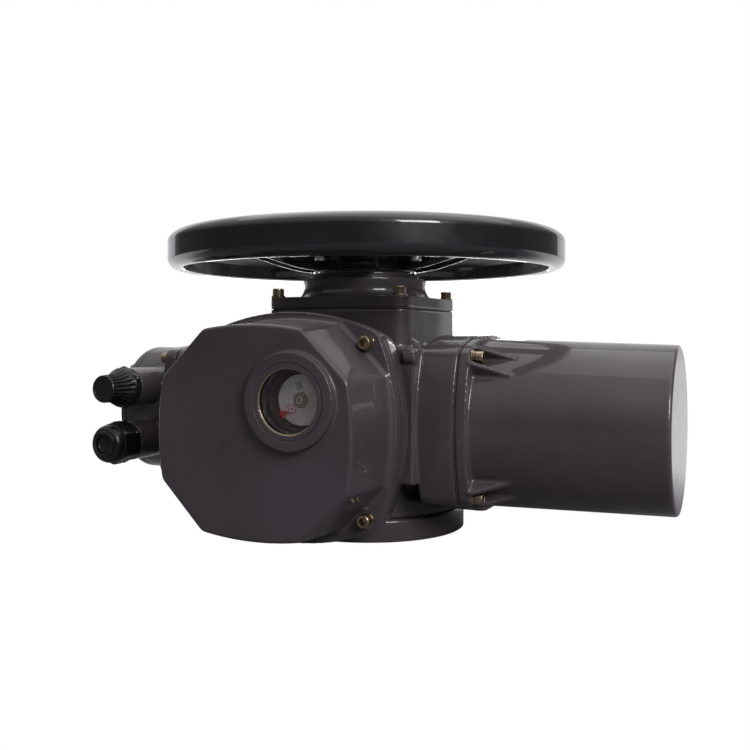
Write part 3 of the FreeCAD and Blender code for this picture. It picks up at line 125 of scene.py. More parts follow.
def towards_backdrop(tree, vector):
    """How far a vector points away from the camera."""
    node = tree.nodes.new("ShaderNodeVectorMath")
    node.operation = "DOT_PRODUCT"
    node.inputs[1].default_value = BACKDROP
    tree.links.new(vector, node.inputs[0])
    return node.outputs["Value"]


def camera_or_other(tree, seen, other, output):
    """One shader for what the camera sees and another one for the light on the object."""
    path = tree.nodes.new("ShaderNodeLightPath")
    mix = tree.nodes.new("ShaderNodeMixShader")
    tree.links.new(path.outputs["Is Camera Ray"], mix.inputs["Fac"])
    tree.links.new(other, mix.inputs[1])
    tree.links.new(seen, mix.inputs[2])
    tree.links.new(mix.outputs[0], output.inputs["Surface"])


ROOM_LEVEL = 0.07
SKY_LEVEL = 0.62
BACKDROP_LEVEL = 0.85


def room():
    """White backdrop behind the object, a dark room in front and a bright ceiling."""
    world = bpy.data.worlds.new("studio_world")
    world.use_nodes = True
    tree = world.node_tree
    seen = tree.nodes["Background"]
    seen.inputs["Color"].default_value = (1.0, 1.0, 1.0, 1.0)
    direction = tree.nodes.new("ShaderNodeTexCoord").outputs["Generated"]
    split = tree.nodes.new("ShaderNodeSeparateXYZ")
    tree.links.new(direction, split.inputs[0])
    ceiling = eased(tree, split.outputs["Z"], 0.1, 0.95)
    edge = math.cos(BACKDROP_HALF_ANGLE)
    paper = eased(tree, towards_backdrop(tree, direction), edge - 0.006, edge + 0.006)
    level = math_node(tree, "MULTIPLY_ADD", ceiling, SKY_LEVEL)
    level.node.inputs[2].default_value = ROOM_LEVEL
    paper_light = math_node(tree, "MULTIPLY", paper, BACKDROP_LEVEL)
    dark = tree.nodes.new("ShaderNodeBackground")
    dark.inputs["Color"].default_value = (0.98, 0.96, 1.0, 1.0)
    tree.links.new(math_node(tree, "MAXIMUM", level, paper_light), dark.inputs["Strength"])
    camera_or_other(tree, seen.outputs[0], dark.outputs[0], tree.nodes["World Output"])
    bpy.context.scene.world = world


def studio():
    """A wide soft box overhead, a smaller one high on the right and a low one behind."""
    area_light("top_softbox", (0.1, 0.3, 1.5), (0.05, 0.0, 0.1), (2.4, 1.5), 9)
    area_light("front_softbox", (1.6, -1.2, 1.1), (0.0, -0.1, 0.12), (0.8, 0.8), 32)
    area_light("under_wheel_fill", (-0.13, 0.29, 0.2), (0.0, 0.0, 0.235), (0.4, 0.06), 0.5)


def floor():
    """Round white floor that looks as bright as the backdrop; near the object it is dim."""
    mesh = bpy.data.meshes.new("floor")
    steps = 96
    reach = 6.0
    points = [(reach * math.cos(2 * math.pi * i / steps), reach * math.sin(2 * math.pi * i / steps),
               -0.0005) for i in range(steps)]
    mesh.from_pydata(points, [], [list(range(steps))])
    plate = bpy.data.objects.new("floor", mesh)
    bpy.context.scene.collection.objects.link(plate)
    paint = bpy.data.materials.new("floor_white")
    paint.use_nodes = True
    tree = paint.node_tree
    tree.nodes.remove(tree.nodes["Principled BSDF"])
    seen = tree.nodes.new("ShaderNodeEmission")
    seen.inputs["Strength"].default_value = 1.0
    where = tree.nodes.new("ShaderNodeTexCoord").outputs["Object"]
    far = eased(tree, towards_backdrop(tree, where), 0.0, 0.35)
    paper = tree.nodes.new("ShaderNodeEmission")
    tree.links.new(math_node(tree, "MULTIPLY", far, BACKDROP_LEVEL), paper.inputs["Strength"])
    bounce = tree.nodes.new("ShaderNodeBsdfDiffuse")
    bounce.inputs["Color"].default_value = (0.20, 0.19, 0.21, 1.0)
    both = tree.nodes.new("ShaderNodeAddShader")
    tree.links.new(paper.outputs[0], both.inputs[0])
    tree.links.new(bounce.outputs[0], both.inputs[1])
    camera_or_other(tree, seen.outputs[0], both.outputs[0], tree.nodes["Material Output"])
    mesh.materials.append(paint)


# ---------------------------------------------------------------- materials
class Surface:
    """A node material: one Principled shader fed by noise in object space."""

    def __init__(self, name, colour, roughness, metallic=0.0):
        self.material = bpy.data.materials.new(name)
        self.material.use_nodes = True
        self.material.diffuse_color = (*colour, 1.0)
        self.nodes = self.material.node_tree.nodes
        self.links = self.material.node_tree.links
        self.shader = self.nodes["Principled BSDF"]
        self.set("Metallic", metallic)
        self.colour = colour
        self.roughness = roughness
        self.where = self.nodes.new("ShaderNodeTexCoord").outputs["Object"]
        self.height = None

    def set(self, socket, value):
        self.shader.inputs[socket].default_value = value

    def stretched(self, scale):
        """Object coordinates scaled differently along x, y and z."""
        mapping = self.nodes.new("ShaderNodeMapping")
        mapping.inputs["Scale"].default_value = scale
        self.links.new(self.where, mapping.inputs["Vector"])
        return mapping.outputs["Vector"]

    def noise(self, scale, detail=3.0, rough=0.5, where=None):
        node = self.nodes.new("ShaderNodeTexNoise")
        node.inputs["Scale"].default_value = scale
        node.inputs["Detail"].default_value = detail
        node.inputs["Roughness"].default_value = rough
        self.links.new(where or self.where, node.inputs["Vector"])
        return node.outputs["Fac"]

    def cells(self, scale):
        node = self.nodes.new("ShaderNodeTexVoronoi")
        node.inputs["Scale"].default_value = scale
        self.links.new(self.where, node.inputs["Vector"])
        return node.outputs["Distance"]

    def painted_shade_openness(self, distance):
        """Near 0 deep in a socket or corner, where shade is painted, and 1 on open faces."""
        node = self.nodes.new("ShaderNodeAmbientOcclusion")
        node.inputs["Distance"].default_value = distance
        return self.remap(node.outputs["AO"], 0.15, 0.75, 0, 1)

    def remap(self, value, low, high, new_low, new_high):
        node = self.nodes.new("ShaderNodeMapRange")
        for socket, number in (("From Min", low), ("From Max", high),
                               ("To Min", new_low), ("To Max", new_high)):
            node.inputs[socket].default_value = number
        self.links.new(value, node.inputs["Value"])
        return node.outputs["Result"]

    def mix(self, amount, first, second):
        """Blend two colours; each is a colour or the output of a node."""
        node = self.nodes.new("ShaderNodeMix")
        node.data_type = "RGBA"
        self.links.new(amount, node.inputs["Factor"])
        for socket, value in ((6, first), (7, second)):
            if isinstance(value, tuple):
                node.inputs[socket].default_value = (*value, 1.0)
            else:
                self.links.new(value, node.inputs[socket])
        return node.outputs[2]

    def paint(self, output):
        self.links.new(output, self.shader.inputs["Base Color"])

    def vary(self, noise, spread, low=0.35, high=0.65):
        """Let the roughness wander by spread on both sides of its value."""
        wander = self.remap(noise, low, high, self.roughness - spread, self.roughness + spread)
        self.links.new(wander, self.shader.inputs["Roughness"])

    def bump(self, height, distance, strength=1.0):
        """Add a layer of relief; distance is its height in metres."""
        node = self.nodes.new("ShaderNodeBump")
        node.inputs["Distance"].default_value = distance
        node.inputs["Strength"].default_value = strength
        self.links.new(height, node.inputs["Height"])
        if self.height is not None:
            self.links.new(self.height, node.inputs["Normal"])
        self.height = node.outputs["Normal"]
        self.links.new(self.height, self.shader.inputs["Normal"])


def tinted(colour, factor):
    return tuple(min(1.0, c * factor) for c in colour)


def enamel(name, colour, roughness, coat, peel, chips=0.0):
    """Sprayed enamel over a casting: orange peel, slow unevenness, dust and small chips."""
    s = Surface(name, colour, roughness)
    tone = s.mix(s.remap(s.noise(14, 4), 0.35, 0.65, 0, 1),
                 tinted(colour, 0.86), tinted(colour, 1.16))
    dust = s.remap(s.noise(900, 2, 0.7), 0.72, 0.78, 0, 0.35)
    tone = s.mix(dust, tone, tinted(colour, 3.2))
    if chips:
        chipped = s.remap(s.noise(210, 5, 0.65), 0.765 - chips, 0.775 - chips, 0, 1)
        tone = s.mix(chipped, tone, (0.42, 0.41, 0.40))
    s.paint(tone)
    s.vary(s.noise(45, 4), 0.06)
    s.bump(s.noise(26, 3), 0.0006, 0.35)
    s.bump(s.noise(620, 2, 0.45), 0.00006, peel)
    s.set("Coat Weight", coat)
    s.set("Coat Roughness", 0.03)
    s.set("Coat IOR", 1.5)
    s.set("Specular IOR Level", 0.25)
    return s.material


TOOL_MARKS = (60, 60, 1400)                # noise scale along x, y and z


def turned_metal(name, colour, roughness):
    """Machined or plated metal with fine tool marks, patches of tarnish and painted shade deep in
    sockets and corners.
    """
    s = Surface(name, colour, roughness, metallic=1.0)
    marks = s.noise(1.0, 4, 0.6, s.stretched(TOOL_MARKS))
    patches = s.remap(s.noise(140, 4), 0.38, 0.68, 0, 1)
    tone = s.mix(patches, tinted(colour, 1.08), tinted(colour, 0.72))
    tone = s.mix(s.remap(marks, 0.3, 0.7, 0, 0.45), tone, tinted(colour, 0.6))
    # painted shade: the colour falls almost to black deep in sockets and corners
    s.paint(s.mix(s.painted_shade_openness(2.5 * MM), tinted(colour, 0.04), tone))
    s.vary(marks, 0.09)
    s.bump(marks, 0.00004, 0.5)
    return s.material


def plastic(name, colour, roughness):
    """Moulded plastic with a fine spark texture and slight flow marks."""
    s = Surface(name, colour, roughness)
    s.paint(s.mix(s.remap(s.noise(60, 3), 0.35, 0.65, 0, 1),
                  tinted(colour, 0.82), tinted(colour, 1.25)))
    s.vary(s.noise(160, 3), 0.07)
    s.bump(s.noise(1500, 2, 0.5), 0.00004, 0.5)
    return s.material


def rubber():
    """Dull black rubber with a trace of dust."""
    s = Surface("seal_rubber", (0.018, 0.018, 0.019), 0.72)
    s.paint(s.mix(s.remap(s.noise(90, 4), 0.35, 0.65, 0, 1), (0.012, 0.012, 0.012),
                  (0.035, 0.034, 0.033)))
    s.vary(s.noise(300, 3), 0.08)
    s.bump(s.noise(2200, 2), 0.00003, 0.5)
    return s.material


def glass():
    """Polished sight glass with a trace of dust."""
    s = Surface("sight_glass", (1.0, 1.0, 1.0), 0.02)
    s.paint(s.mix(s.remap(s.noise(40, 3), 0.4, 0.7, 0, 1), (1.0, 1.0, 1.0),
                  (0.95, 0.95, 0.95)))
    s.vary(s.noise(500, 4, 0.7), 0.015)
    s.bump(s.noise(18, 1), 0.00003, 0.1)
    s.set("Transmission Weight", 1.0)
    s.set("IOR", 1.45)
    return s.material


def laminations():
    """Stacked electrical sheets: fine lines across the motor's axis."""
    s = Surface("laminated_steel", (0.33, 0.33, 0.34), 0.42, metallic=1.0)
    lines = s.nodes.new("ShaderNodeTexWave")
    lines.bands_direction = "X"
    lines.inputs["Scale"].default_value = 320
    lines.inputs["Distortion"].default_value = 0.3
    s.links.new(s.where, lines.inputs["Vector"])
    s.paint(s.mix(lines.outputs["Fac"], (0.14, 0.14, 0.15), (0.42, 0.42, 0.43)))
    s.vary(s.noise(200, 3), 0.1)
    s.bump(lines.outputs["Fac"], 0.00015, 0.6)
    return s.material


def windings():
    """Varnished copper wire laid round the stator."""
    s = Surface("copper_winding", (0.45, 0.19, 0.08), 0.35, metallic=0.7)
    strands = s.noise(1.0, 3, 0.5, s.stretched((1500, 120, 120)))
    s.paint(s.mix(strands, (0.20, 0.07, 0.03), (0.62, 0.28, 0.12)))
    s.vary(strands, 0.1)
    s.bump(strands, 0.0003, 0.7)
    s.set("Coat Weight", 0.4)
    return s.material


def circuit_board():
    """Green solder mask with copper tracks under it."""
    s = Surface("board_laminate", (0.02, 0.13, 0.05), 0.4)
    tracks = s.remap(s.cells(260), 0.28, 0.32, 0, 1)
    s.paint(s.mix(tracks, (0.05, 0.24, 0.09), (0.015, 0.10, 0.04)))
    s.vary(s.noise(120, 3), 0.08)
    s.bump(tracks, 0.00005, 0.4)
    return s.material


def cast_metal():
    """Pale unpainted aluminium with cloudy patches."""
    s = Surface("cast_aluminium", (0.72, 0.70, 0.67), 0.55, metallic=0.7)
    s.paint(s.mix(s.remap(s.noise(80, 5), 0.35, 0.65, 0, 1), (0.58, 0.56, 0.53),
                  (0.82, 0.80, 0.77)))
    s.vary(s.noise(400, 4), 0.1)
    s.bump(s.noise(900, 3), 0.0001, 0.6)
    return s.material


def dial_face():
    """Off-white printed disc, a little yellowed towards one side."""
    s = Surface("dial_plastic", (0.76, 0.71, 0.69), 0.38)
    s.paint(s.mix(s.remap(s.noise(55, 2), 0.35, 0.65, 0, 1), (0.68, 0.61, 0.58),
                  (0.84, 0.81, 0.79)))
    s.vary(s.noise(200, 3), 0.08)
    s.bump(s.noise(600, 2), 0.00003, 0.4)
    return s.material


MATERIALS = {
    "cover_paint": enamel("cover_paint", (0.052, 0.043, 0.049), 0.45, 0.5, 0.4, chips=0.004),
    "body_paint": enamel("body_paint", (0.054, 0.045, 0.049), 0.42, 0.7, 0.45, chips=0.006),
    "wheel_paint": enamel("wheel_paint", (0.010, 0.009, 0.011), 0.30, 0.9, 0.2),
    "zinc": turned_metal("zinc", (0.74, 0.72, 0.68), 0.30),
    "screw_steel": turned_metal("screw_steel", (0.46, 0.37, 0.25), 0.30),
    "machined_steel": turned_metal("machined_steel", (0.56, 0.56, 0.57), 0.28),
    "bronze": turned_metal("bronze", (0.62, 0.41, 0.20), 0.32),
    "seal_rubber": rubber(),
    "gland_plastic": plastic("gland_plastic", (0.006, 0.006, 0.008), 0.34),
    "dial_plastic": dial_face(),
    "sight_glass": glass(),
    "laminated_steel": laminations(),
    "copper_winding": windings(),
    "cast_aluminium": cast_metal(),
    "board_laminate": circuit_board(),
}
INK = {
    "ink_red": plastic("ink_red", (0.55, 0.035, 0.045), 0.4),
    "ink_pink": plastic("ink_pink", (0.55, 0.20, 0.27), 0.5),
    "ink_green": plastic("ink_green", (0.42, 0.46, 0.40), 0.5),
    "primer": plastic("primer", (0.075, 0.028, 0.024), 0.5),
}


# ---------------------------------------------------------------- mesh helpers
def soften(points, radius, steps=4, closed=False):
    """Round the corners of a profile of (radius, height) points."""
    count = len(points)
    curve = []
    for i, point in enumerate(points):
        if not closed and i in (0, count - 1):
            curve.append(tuple(point))
            continue
        corner = Vector(point)
        before = Vector(points[i - 1]) - corner
        after = Vector(points[(i + 1) % count]) - corner
        start = corner + before * min(0.45, radius / before.length)
        stop = corner + after * min(0.45, radius / after.length)
        for step in range(steps + 1):
            t = step / steps
            spot = start * (1 - t) ** 2 + corner * 2 * t * (1 - t) + stop * t ** 2
            curve.append(tuple(spot))
    return curve


def arc(centre, radii, first, last, steps=12):
    """Points on an ellipse round centre, between two angles in degrees."""
    angles = [math.radians(first + (last - first) * i / steps) for i in range(steps + 1)]
    return [(centre[0] + radii[0] * math.cos(a), centre[1] + radii[1] * math.sin(a))
            for a in angles]


def ring_stack(rings, segments=64, closed=False):
    """Rings of points stacked along +Z; a radius may be a function of the angle."""
    points, faces = [], []
    for radius, height in rings:
        for step in range(segments):
            angle = 2 * math.pi * step / segments
            reach = radius(angle) if callable(radius) else radius
            points.append((reach * math.cos(angle), reach * math.sin(angle), height))
    rows = len(rings) if closed else len(rings) - 1
    for row in range(rows):
        low, high = row * segments, (row + 1) % len(rings) * segments
        for step in range(segments):
            after = (step + 1) % segments
            faces.append((low + step, low + after, high + after, high + step))
    if not closed:
        top = (len(rings) - 1) * segments
        faces.append(tuple(reversed(range(segments))))
        faces.append(tuple(range(top, top + segments)))
    return points, faces


def loft(sections):
    """Closed skin over sections that have the same number of points."""
    size = len(sections[0])
    points = [p for section in sections for p in section]
    faces = [tuple(reversed(range(size)))]
    for row in range(len(sections) - 1):
        low, high = row * size, (row + 1) * size
        for step in range(size):
            after = (step + 1) % size
            faces.append((low + step, low + after, high + after, high + step))
    last = (len(sections) - 1) * size
    faces.append(tuple(range(last, last + size)))
    return points, faces


def placed(shape, place, axis=UP, turn=0.0):
    """Stand a shape made along +Z at a place, pointing along axis."""
    points, faces = shape
    spin = Vector(axis).to_track_quat("Z", "Y" if abs(axis[2]) < 0.5 else "X").to_matrix()
    spin = spin @ Matrix.Rotation(turn, 3, "Z")
    return [tuple(spin @ Vector(p) + Vector(place)) for p in points], faces


def linked(name, mesh):
    thing = bpy.data.objects.new(name, mesh)
    bpy.context.scene.collection.objects.link(thing)
    return thing


def applied(thing):
    """Replace an object's mesh by what its modifiers make of it."""
    result = bpy.data.meshes.new_from_object(
        thing.evaluated_get(bpy.context.evaluated_depsgraph_get()))
    old = thing.data
    thing.modifiers.clear()
    thing.data = result
    bpy.data.meshes.remove(old)


SHARP_ANGLE = 32.0             # an edge that turns by more than this stays sharp


def smoothed(thing, angle):
    mesh = thing.data
    mesh.polygons.foreach_set("use_smooth", [True] * len(mesh.polygons))
    mesh.set_sharp_from_angle(angle=math.radians(angle))


def build(name, shapes):
    """One object from several shapes given in millimetres."""
    points, faces = [], []
    for shape_points, shape_faces in shapes:
        start = len(points)
        points += [tuple(c * MM for c in p) for p in shape_points]
        faces += [tuple(i + start for i in face) for face in shape_faces]
    mesh = bpy.data.meshes.new(name)
    mesh.from_pydata(points, [], faces)
    mesh.validate()
    mesh.update()
    return linked(name, mesh)


def finish_piece(thing, body, slot, nodes=(), material=None, angle=SHARP_ANGLE):
    """Smooth a piece, give it its material (the slot's one unless another is given) and its body, and
    hide the CAD nodes that it stands for.
    """
    smoothed(thing, angle)
    weigh = thing.modifiers.new("weigh", "WEIGHTED_NORMAL")
    weigh.keep_sharp = True
    applied(thing)
    thing.data.materials.clear()
    thing.data.materials.append(material or MATERIALS[slot])
    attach(thing, body)
    if nodes:
        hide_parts(*nodes)


def piece(name, shapes, body, slot, nodes=(), material=None):
    finish_piece(build(name, shapes), body, slot, nodes, material)


# ---------------------------------------------------------------- castings
VOXEL = 1.15 * MM
SNAP = 0.35 * MM
MOST_TRIANGLES = 180000


def true_up(mesh, surfaces):
    """Move points that lie almost on a plane, cylinder or cone exactly onto it."""
    count = len(mesh.vertices)
    points = np.empty(count * 3)
    mesh.vertices.foreach_get("co", points)
    points = points.reshape(count, 3)
    for axis, centre, start, end in surfaces:
        across = [i for i in range(3) if i != axis]
        along = points[:, axis]
        if centre is None:
            near = np.abs(along - start * MM) < SNAP
            points[near, axis] = start * MM
            continue
        (low, low_r), (high, high_r) = start, end
        offset = points[:, across] - np.array(centre) * MM
        reach = np.linalg.norm(offset, axis=1)
        share = (along - low * MM) / ((high - low) * MM)
        wanted = (low_r + (high_r - low_r) * share) * MM
        near = (np.abs(reach - wanted) < SNAP) & (share > 0) & (share < 1)
        points[np.ix_(near, across)] = (np.array(centre) * MM
                                        + offset[near] * (wanted[near] / reach[near])[:, None])
    mesh.vertices.foreach_set("co", points.ravel())
    mesh.update()


def casting(name, node, slot, surfaces, voxel=VOXEL, rounding=7):
    """A cast copy of a CAD node: every edge rounded and every corner filleted."""
    source = frame["nodes"][node]
    exact = linked(name + "_exact", source.data.copy())
    exact.matrix_world = source.matrix_world
    rough = bpy.data.meshes.new(name)
    skin = linked(name, rough)
    points = [tuple(exact.matrix_world @ v.co) for v in exact.data.vertices]
    rough.from_pydata(points, [], [tuple(p.vertices) for p in exact.data.polygons])
    weld = skin.modifiers.new("weld", "WELD")
    weld.merge_threshold = 0.002 * MM
    remesh = skin.modifiers.new("voxels", "REMESH")
    remesh.mode = "VOXEL"
    remesh.voxel_size = voxel
    wrap = skin.modifiers.new("wrap", "SHRINKWRAP")
    wrap.target = exact
    wrap.wrap_method = "NEAREST_SURFACEPOINT"
    bpy.context.view_layer.update()
    applied(skin)
    true_up(skin.data, surfaces)
    soften_edges = skin.modifiers.new("soften", "SMOOTH")
    soften_edges.factor = 0.5
    soften_edges.iterations = rounding
    applied(skin)
    triangles = 2 * len(skin.data.polygons)
    if triangles > MOST_TRIANGLES:
        fewer = skin.modifiers.new("fewer", "DECIMATE")
        fewer.ratio = MOST_TRIANGLES / triangles
        applied(skin)
    finish_piece(skin, "housing", slot, (node,), angle=50.0)
    bpy.data.objects.remove(exact)


def castings():
    x, y, z = 0, 1, 2
    centre = (0.0, 0.0)
    motor = (MOTOR_Y, AXIS_Z)
    window = (WINDOW[0], WINDOW[2])
    casting("main_casting", "main_housing", "body_paint", [
        (z, centre, (18.3, 86.5), (34.0, 86.5)),
        (z, centre, (30.0, 55.0), (189.0, 55.0)),
        (x, motor, (40.0, 62.0), (84.0, 62.0)),
        (x, motor, (-140.0, 57.0), (-40.0, 57.0)),
        (x, motor, (-150.0, 49.0), (-78.0, 49.0)),
        (x, motor, (78.0, 61.0), (115.0, 61.0)),
        (y, None, 64.8, None), (y, None, -127.0, None), (x, None, 115.0, None),
        (x, None, -150.0, None), (x, None, -64.8, None), (z, None, 189.0, None)],
        voxel=1.3 * MM)
    casting("bonnet", "top_cover", "body_paint", [
        (z, centre, (216.0, 48.0), (221.0, 48.0)),
        (z, centre, (209.0, 54.9), (216.0, 54.9)),
        (z, None, BONNET_Z, None), (z, None, 221.0, None), (z, None, 216.0, None)],
        voxel=0.8 * MM, rounding=5)
    casting("windowed_cover", "electrical_cover", "cover_paint", [
        (y, window, (-204.0, 34.4), (-197.0, 34.4)),
        (y, None, -197.2, None), (y, None, -204.0, None), (y, None, COVER_FLANGE_Y, None)],
        voxel=1.0 * MM, rounding=6)
    casting("motor_barrel", "motor_housing", "body_paint", [
        (x, motor, (MOTOR_FLANGE_X, 67.7), (MOTOR_END_X, 64.0)),
        (x, motor, (115.8, 58.5), (262.8, 58.5)),
        (x, None, MOTOR_FLANGE_X, None), (x, None, MOTOR_END_X, None)])
    casting("terminal_drum", "terminal_housing", "body_paint", [
        (x, motor, (TERMINAL_END_X, 58.0), (TERMINAL_FLANGE_X, 58.0)),
        (x, motor, (TERMINAL_END_X, 49.0), (-150.8, 49.0)),
        (x, None, TERMINAL_FLANGE_X, None), (x, None, TERMINAL_END_X, None)],
        voxel=0.9 * MM, rounding=6)


VALVE_BOLT_PITCH_R = 70.0
BASE_SCREW_PITCH_R = 78.0


def around(reach, degrees, height):
    angle = math.radians(degrees)
    return reach * math.cos(angle), reach * math.sin(angle), height


def drill(place, radius, depth, segments):
    return placed(ring_stack([(radius, 0), (radius, depth)], segments), place)


def turned_castings():
    """Base flange and terminal cover, turned after casting."""
    flange = soften([(36, 13), (44, 13), (44, 5), (50, 5), (50, 0), (89, 0), (89, 16.4),
                     (87.5, 18.3), (36, 18.3)], 0.9, closed=True)
    base = build("base_flange", [ring_stack(flange, 192, closed=True)])
    drills = []
    for quarter in range(4):
        bolt = around(VALVE_BOLT_PITCH_R, 45 + 90 * quarter, -1)
        screw = around(BASE_SCREW_PITCH_R, 90 * quarter, -1)
        drills += [drill(bolt, 7.0, 30, 32), drill(screw, 6.8, 10, 32), drill(screw, 4.0, 30, 24)]
    cut(base, drills)
    finish_piece(base, "housing", "body_paint", ("mounting_base",))
    end = soften([(0.02, 0), (58, 0), (58, 6), (50, 6), (48.6, 5.2), (0.02, 5.2)], 0.8)
    lid = build("terminal_lid", [placed(ring_stack(end, 160), (TERMINAL_END_X, MOTOR_Y, AXIS_Z), LEFT)])
    finish_piece(lid, "housing", "body_paint", ("terminal_cover",))


def cut(thing, shapes, operation="DIFFERENCE"):
    """Cut shapes, given in millimetres, out of an object, or join them to it."""
    for shape in shapes:
        tool = build("tool", [shape])
        carve = thing.modifiers.new("carve", "BOOLEAN")
        carve.operation = operation
        carve.solver = "EXACT"
        carve.object = tool
        bpy.context.view_layer.update()
        applied(thing)
        bpy.data.objects.remove(tool)


# ---------------------------------------------------------------- screws and washers
def hexagon_reach(flats):
    """Radius of a hexagon with this distance across its flats, at each angle."""
    def reach(angle):
        return flats / 2 / math.cos((angle + math.pi / 6) % (math.pi / 3) - math.pi / 6)
    return reach


def clipped_hexagon(flats, limit):
    side = hexagon_reach(flats)
    return lambda angle: min(side(angle), limit)


def rippled(radius, depth, count, sharpness=1.0):
    """Radius with evenly spaced ribs."""
    return lambda angle: radius - depth * abs(math.sin(angle * count / 2)) ** sharpness


def cap_screw(place, axis, head_r=5.0, head_h=6.0, shank_r=3.0, shank=20.0, turn=0.0):
    """Socket-head cap screw with a knurled head; it stands on place and points along axis."""
    knurl = rippled(head_r, head_r * 0.022, 36)
    socket = hexagon_reach(head_r * 1.0)
    floor_z = head_h * 0.12
    rings = [(shank_r * 0.8, -shank), (shank_r, -shank + 0.6), (shank_r, 0),
             (head_r * 0.94, 0), (head_r * 0.985, head_h * 0.05), (knurl, head_h * 0.08),
             (knurl, head_h * 0.80), (head_r * 0.97, head_h * 0.84),
             (head_r * 0.955, head_h * 0.93), (head_r * 0.88, head_h), (head_r * 0.68, head_h),
             (clipped_hexagon(head_r * 1.06, head_r), head_h * 0.985),
             (socket, head_h * 0.94), (socket, floor_z), (head_r * 0.2, floor_z * 0.85),
             (0.02, floor_z * 0.8)]
    return placed(ring_stack(rings, 72), place, axis, turn)


def washer(place, axis, outer=6.1, inner=3.3, thickness=1.5):
    profile = soften([(inner, 0), (outer, 0), (outer, thickness), (inner, thickness)],
                     0.3, 3, closed=True)
    return placed(ring_stack(profile, 56, closed=True), place, axis)


def spring_washer(place, axis, outer=5.3, inner=3.3, thickness=1.5):
    """Split washer whose ends stand a little apart."""
    sections = []
    for step in range(49):
        angle = math.radians(4 + 352 * step / 48)
        lift = 0.12 * step / 48
        sections.append([(r * math.cos(angle), r * math.sin(angle), h + lift)
                         for r, h in ((inner, 0), (outer, 0), (outer, thickness - 0.15),
                                      (inner, thickness - 0.15))])
    return placed(loft(sections), place, axis)


def corners(centre, reach, axis):
    across = [i for i in range(3) if not axis[i]]
    places = []
    for a in (-reach, reach):
        for b in (-reach, reach):
            place = list(centre)
            place[across[0]] += a
            place[across[1]] += b
            places.append(tuple(place))
    return places


def stood_off(place, axis, distance):
    return tuple(p + a * distance for p, a in zip(place, axis))


LID_FACE_X = TERMINAL_END_X - 6.0
LID_SCREW_PITCH_R = 53.4


def fasteners():
    washers = []
    groups = (("top_screws", (0, 0, BONNET_Z), 56.9, UP, 26, 1.6),
              ("cover_screws", (0, COVER_FLANGE_Y, AXIS_Z), 64.8, FRONT, 26, 1.6),
              ("motor_screws", (MOTOR_FLANGE_X, MOTOR_Y, AXIS_Z), 53.8, RIGHT, 24, 3.2),
              ("terminal_screws", (TERMINAL_FLANGE_X, MOTOR_Y, AXIS_Z), 49.0, LEFT, 20, 1.6))
    for name, centre, reach, axis, shank, stand in groups:
        screws = []
        for i, place in enumerate(corners(centre, reach, axis)):
            screws.append(cap_screw(stood_off(place, axis, stand), axis, shank=shank + stand,
                                    turn=0.5 + 1.7 * i))
            washers.append(washer(place, axis))
            if stand > 2:
                washers.append(spring_washer(stood_off(place, axis, 1.6), axis))
        piece("casing_" + name, screws, "housing", "screw_steel", (name,))
    piece("casing_washers", washers, "housing", "screw_steel", ("flat_washers",))
    lid_screws = []
    for i in range(4):
        angle = math.radians(45 + 90 * i)
        place = (LID_FACE_X, MOTOR_Y + LID_SCREW_PITCH_R * math.cos(angle),
                 AXIS_Z + LID_SCREW_PITCH_R * math.sin(angle))
        lid_screws.append(cap_screw(place, LEFT, 4.2, 3.0, 2.5, 16, turn=0.9 * i))
    piece("lid_screws", lid_screws, "housing", "screw_steel", ("terminal_cover_screws",))


# ---------------------------------------------------------------- cable glands
GLAND_SEAT = (-180.0, -109.0)
GLAND_RISE = 23.7
GLAND_CAP_START = 7.0
TIP_LENGTH = 25.0


def gland_body(z, flange_r):
    """Hexagon with chamfered corners on a round collar, and the threaded neck in front."""
    seat = (GLAND_SEAT[0], GLAND_SEAT[1] - 1.0, z)
    rings = [(12.2, -16), (12.45, -15), (12.45, 0), (flange_r - 0.3, 0), (flange_r, 0.3),
             (flange_r, 1.2), (flange_r - 0.2, 1.5), (clipped_hexagon(33, 17.9), 1.55),
             (clipped_hexagon(33, 18.7), 2.2), (clipped_hexagon(33, 18.7), 4.2),
             (clipped_hexagon(33, 17.6), 5.4), (15.8, 5.5), (10.5, 5.5), (10.5, 18),
             (9.6, 18.5), (7, 18.5), (7, -16)]
    return placed(ring_stack(rings, 144, closed=True), seat, FRONT)


def ribbed_cap():
    """Profile of the blanking cap: ribs run up a flare and stop at a round foot."""
    rings = [(10.55, 0), (16.9, 0), (17.4, 0.4), (17.4, 1.2), (17.0, 1.7),
             (rippled(16.9, 0.2, 24), 2.4), (rippled(16.3, 1.0, 24), 4)]
    rings += [(rippled(16.3 - 4.3 * math.sin(math.pi / 2 * i / 8), 1.1, 24), 4 + 13 * i / 8)
              for i in range(1, 9)]
    rings += [(rippled(11.95, 1.0, 24), TIP_LENGTH - 2.5), (rippled(11.9, 0.4, 24), TIP_LENGTH - 1.2),
              (11.6, TIP_LENGTH - 0.5), (11.1, TIP_LENGTH), (9.4, TIP_LENGTH),
              (9.2, TIP_LENGTH - 0.3), (0.02, TIP_LENGTH - 0.3), (0.01, 13.9), (10.55, 13.8)]
    return ring_stack(rings, 192, closed=True)


def dome_nut():
    """Profile of the dome nut: chamfered hexagon, a groove and a stepped dome."""
    rings = [(10.55, 0), (15.6, 0), (clipped_hexagon(33, 16.9), 0.3),
             (clipped_hexagon(33, 18.6), 2.0), (clipped_hexagon(33, 18.6), 10.5),
             (clipped_hexagon(33, 16.9), 14.0), (15.4, 14.6), (15.2, 15.4), (15.8, 15.9)]
    rings += arc((8.0, 16.6), (8.2, 7.6), 0, 55, 10)
    rings += [(11.6, 23.0), (11.0, 24.4), (10.0, 24.9), (8.5, TIP_LENGTH), (8.0, 24.6),
              (7.95, 13.4), (10.55, 13.0)]
    return ring_stack(rings, 144, closed=True)


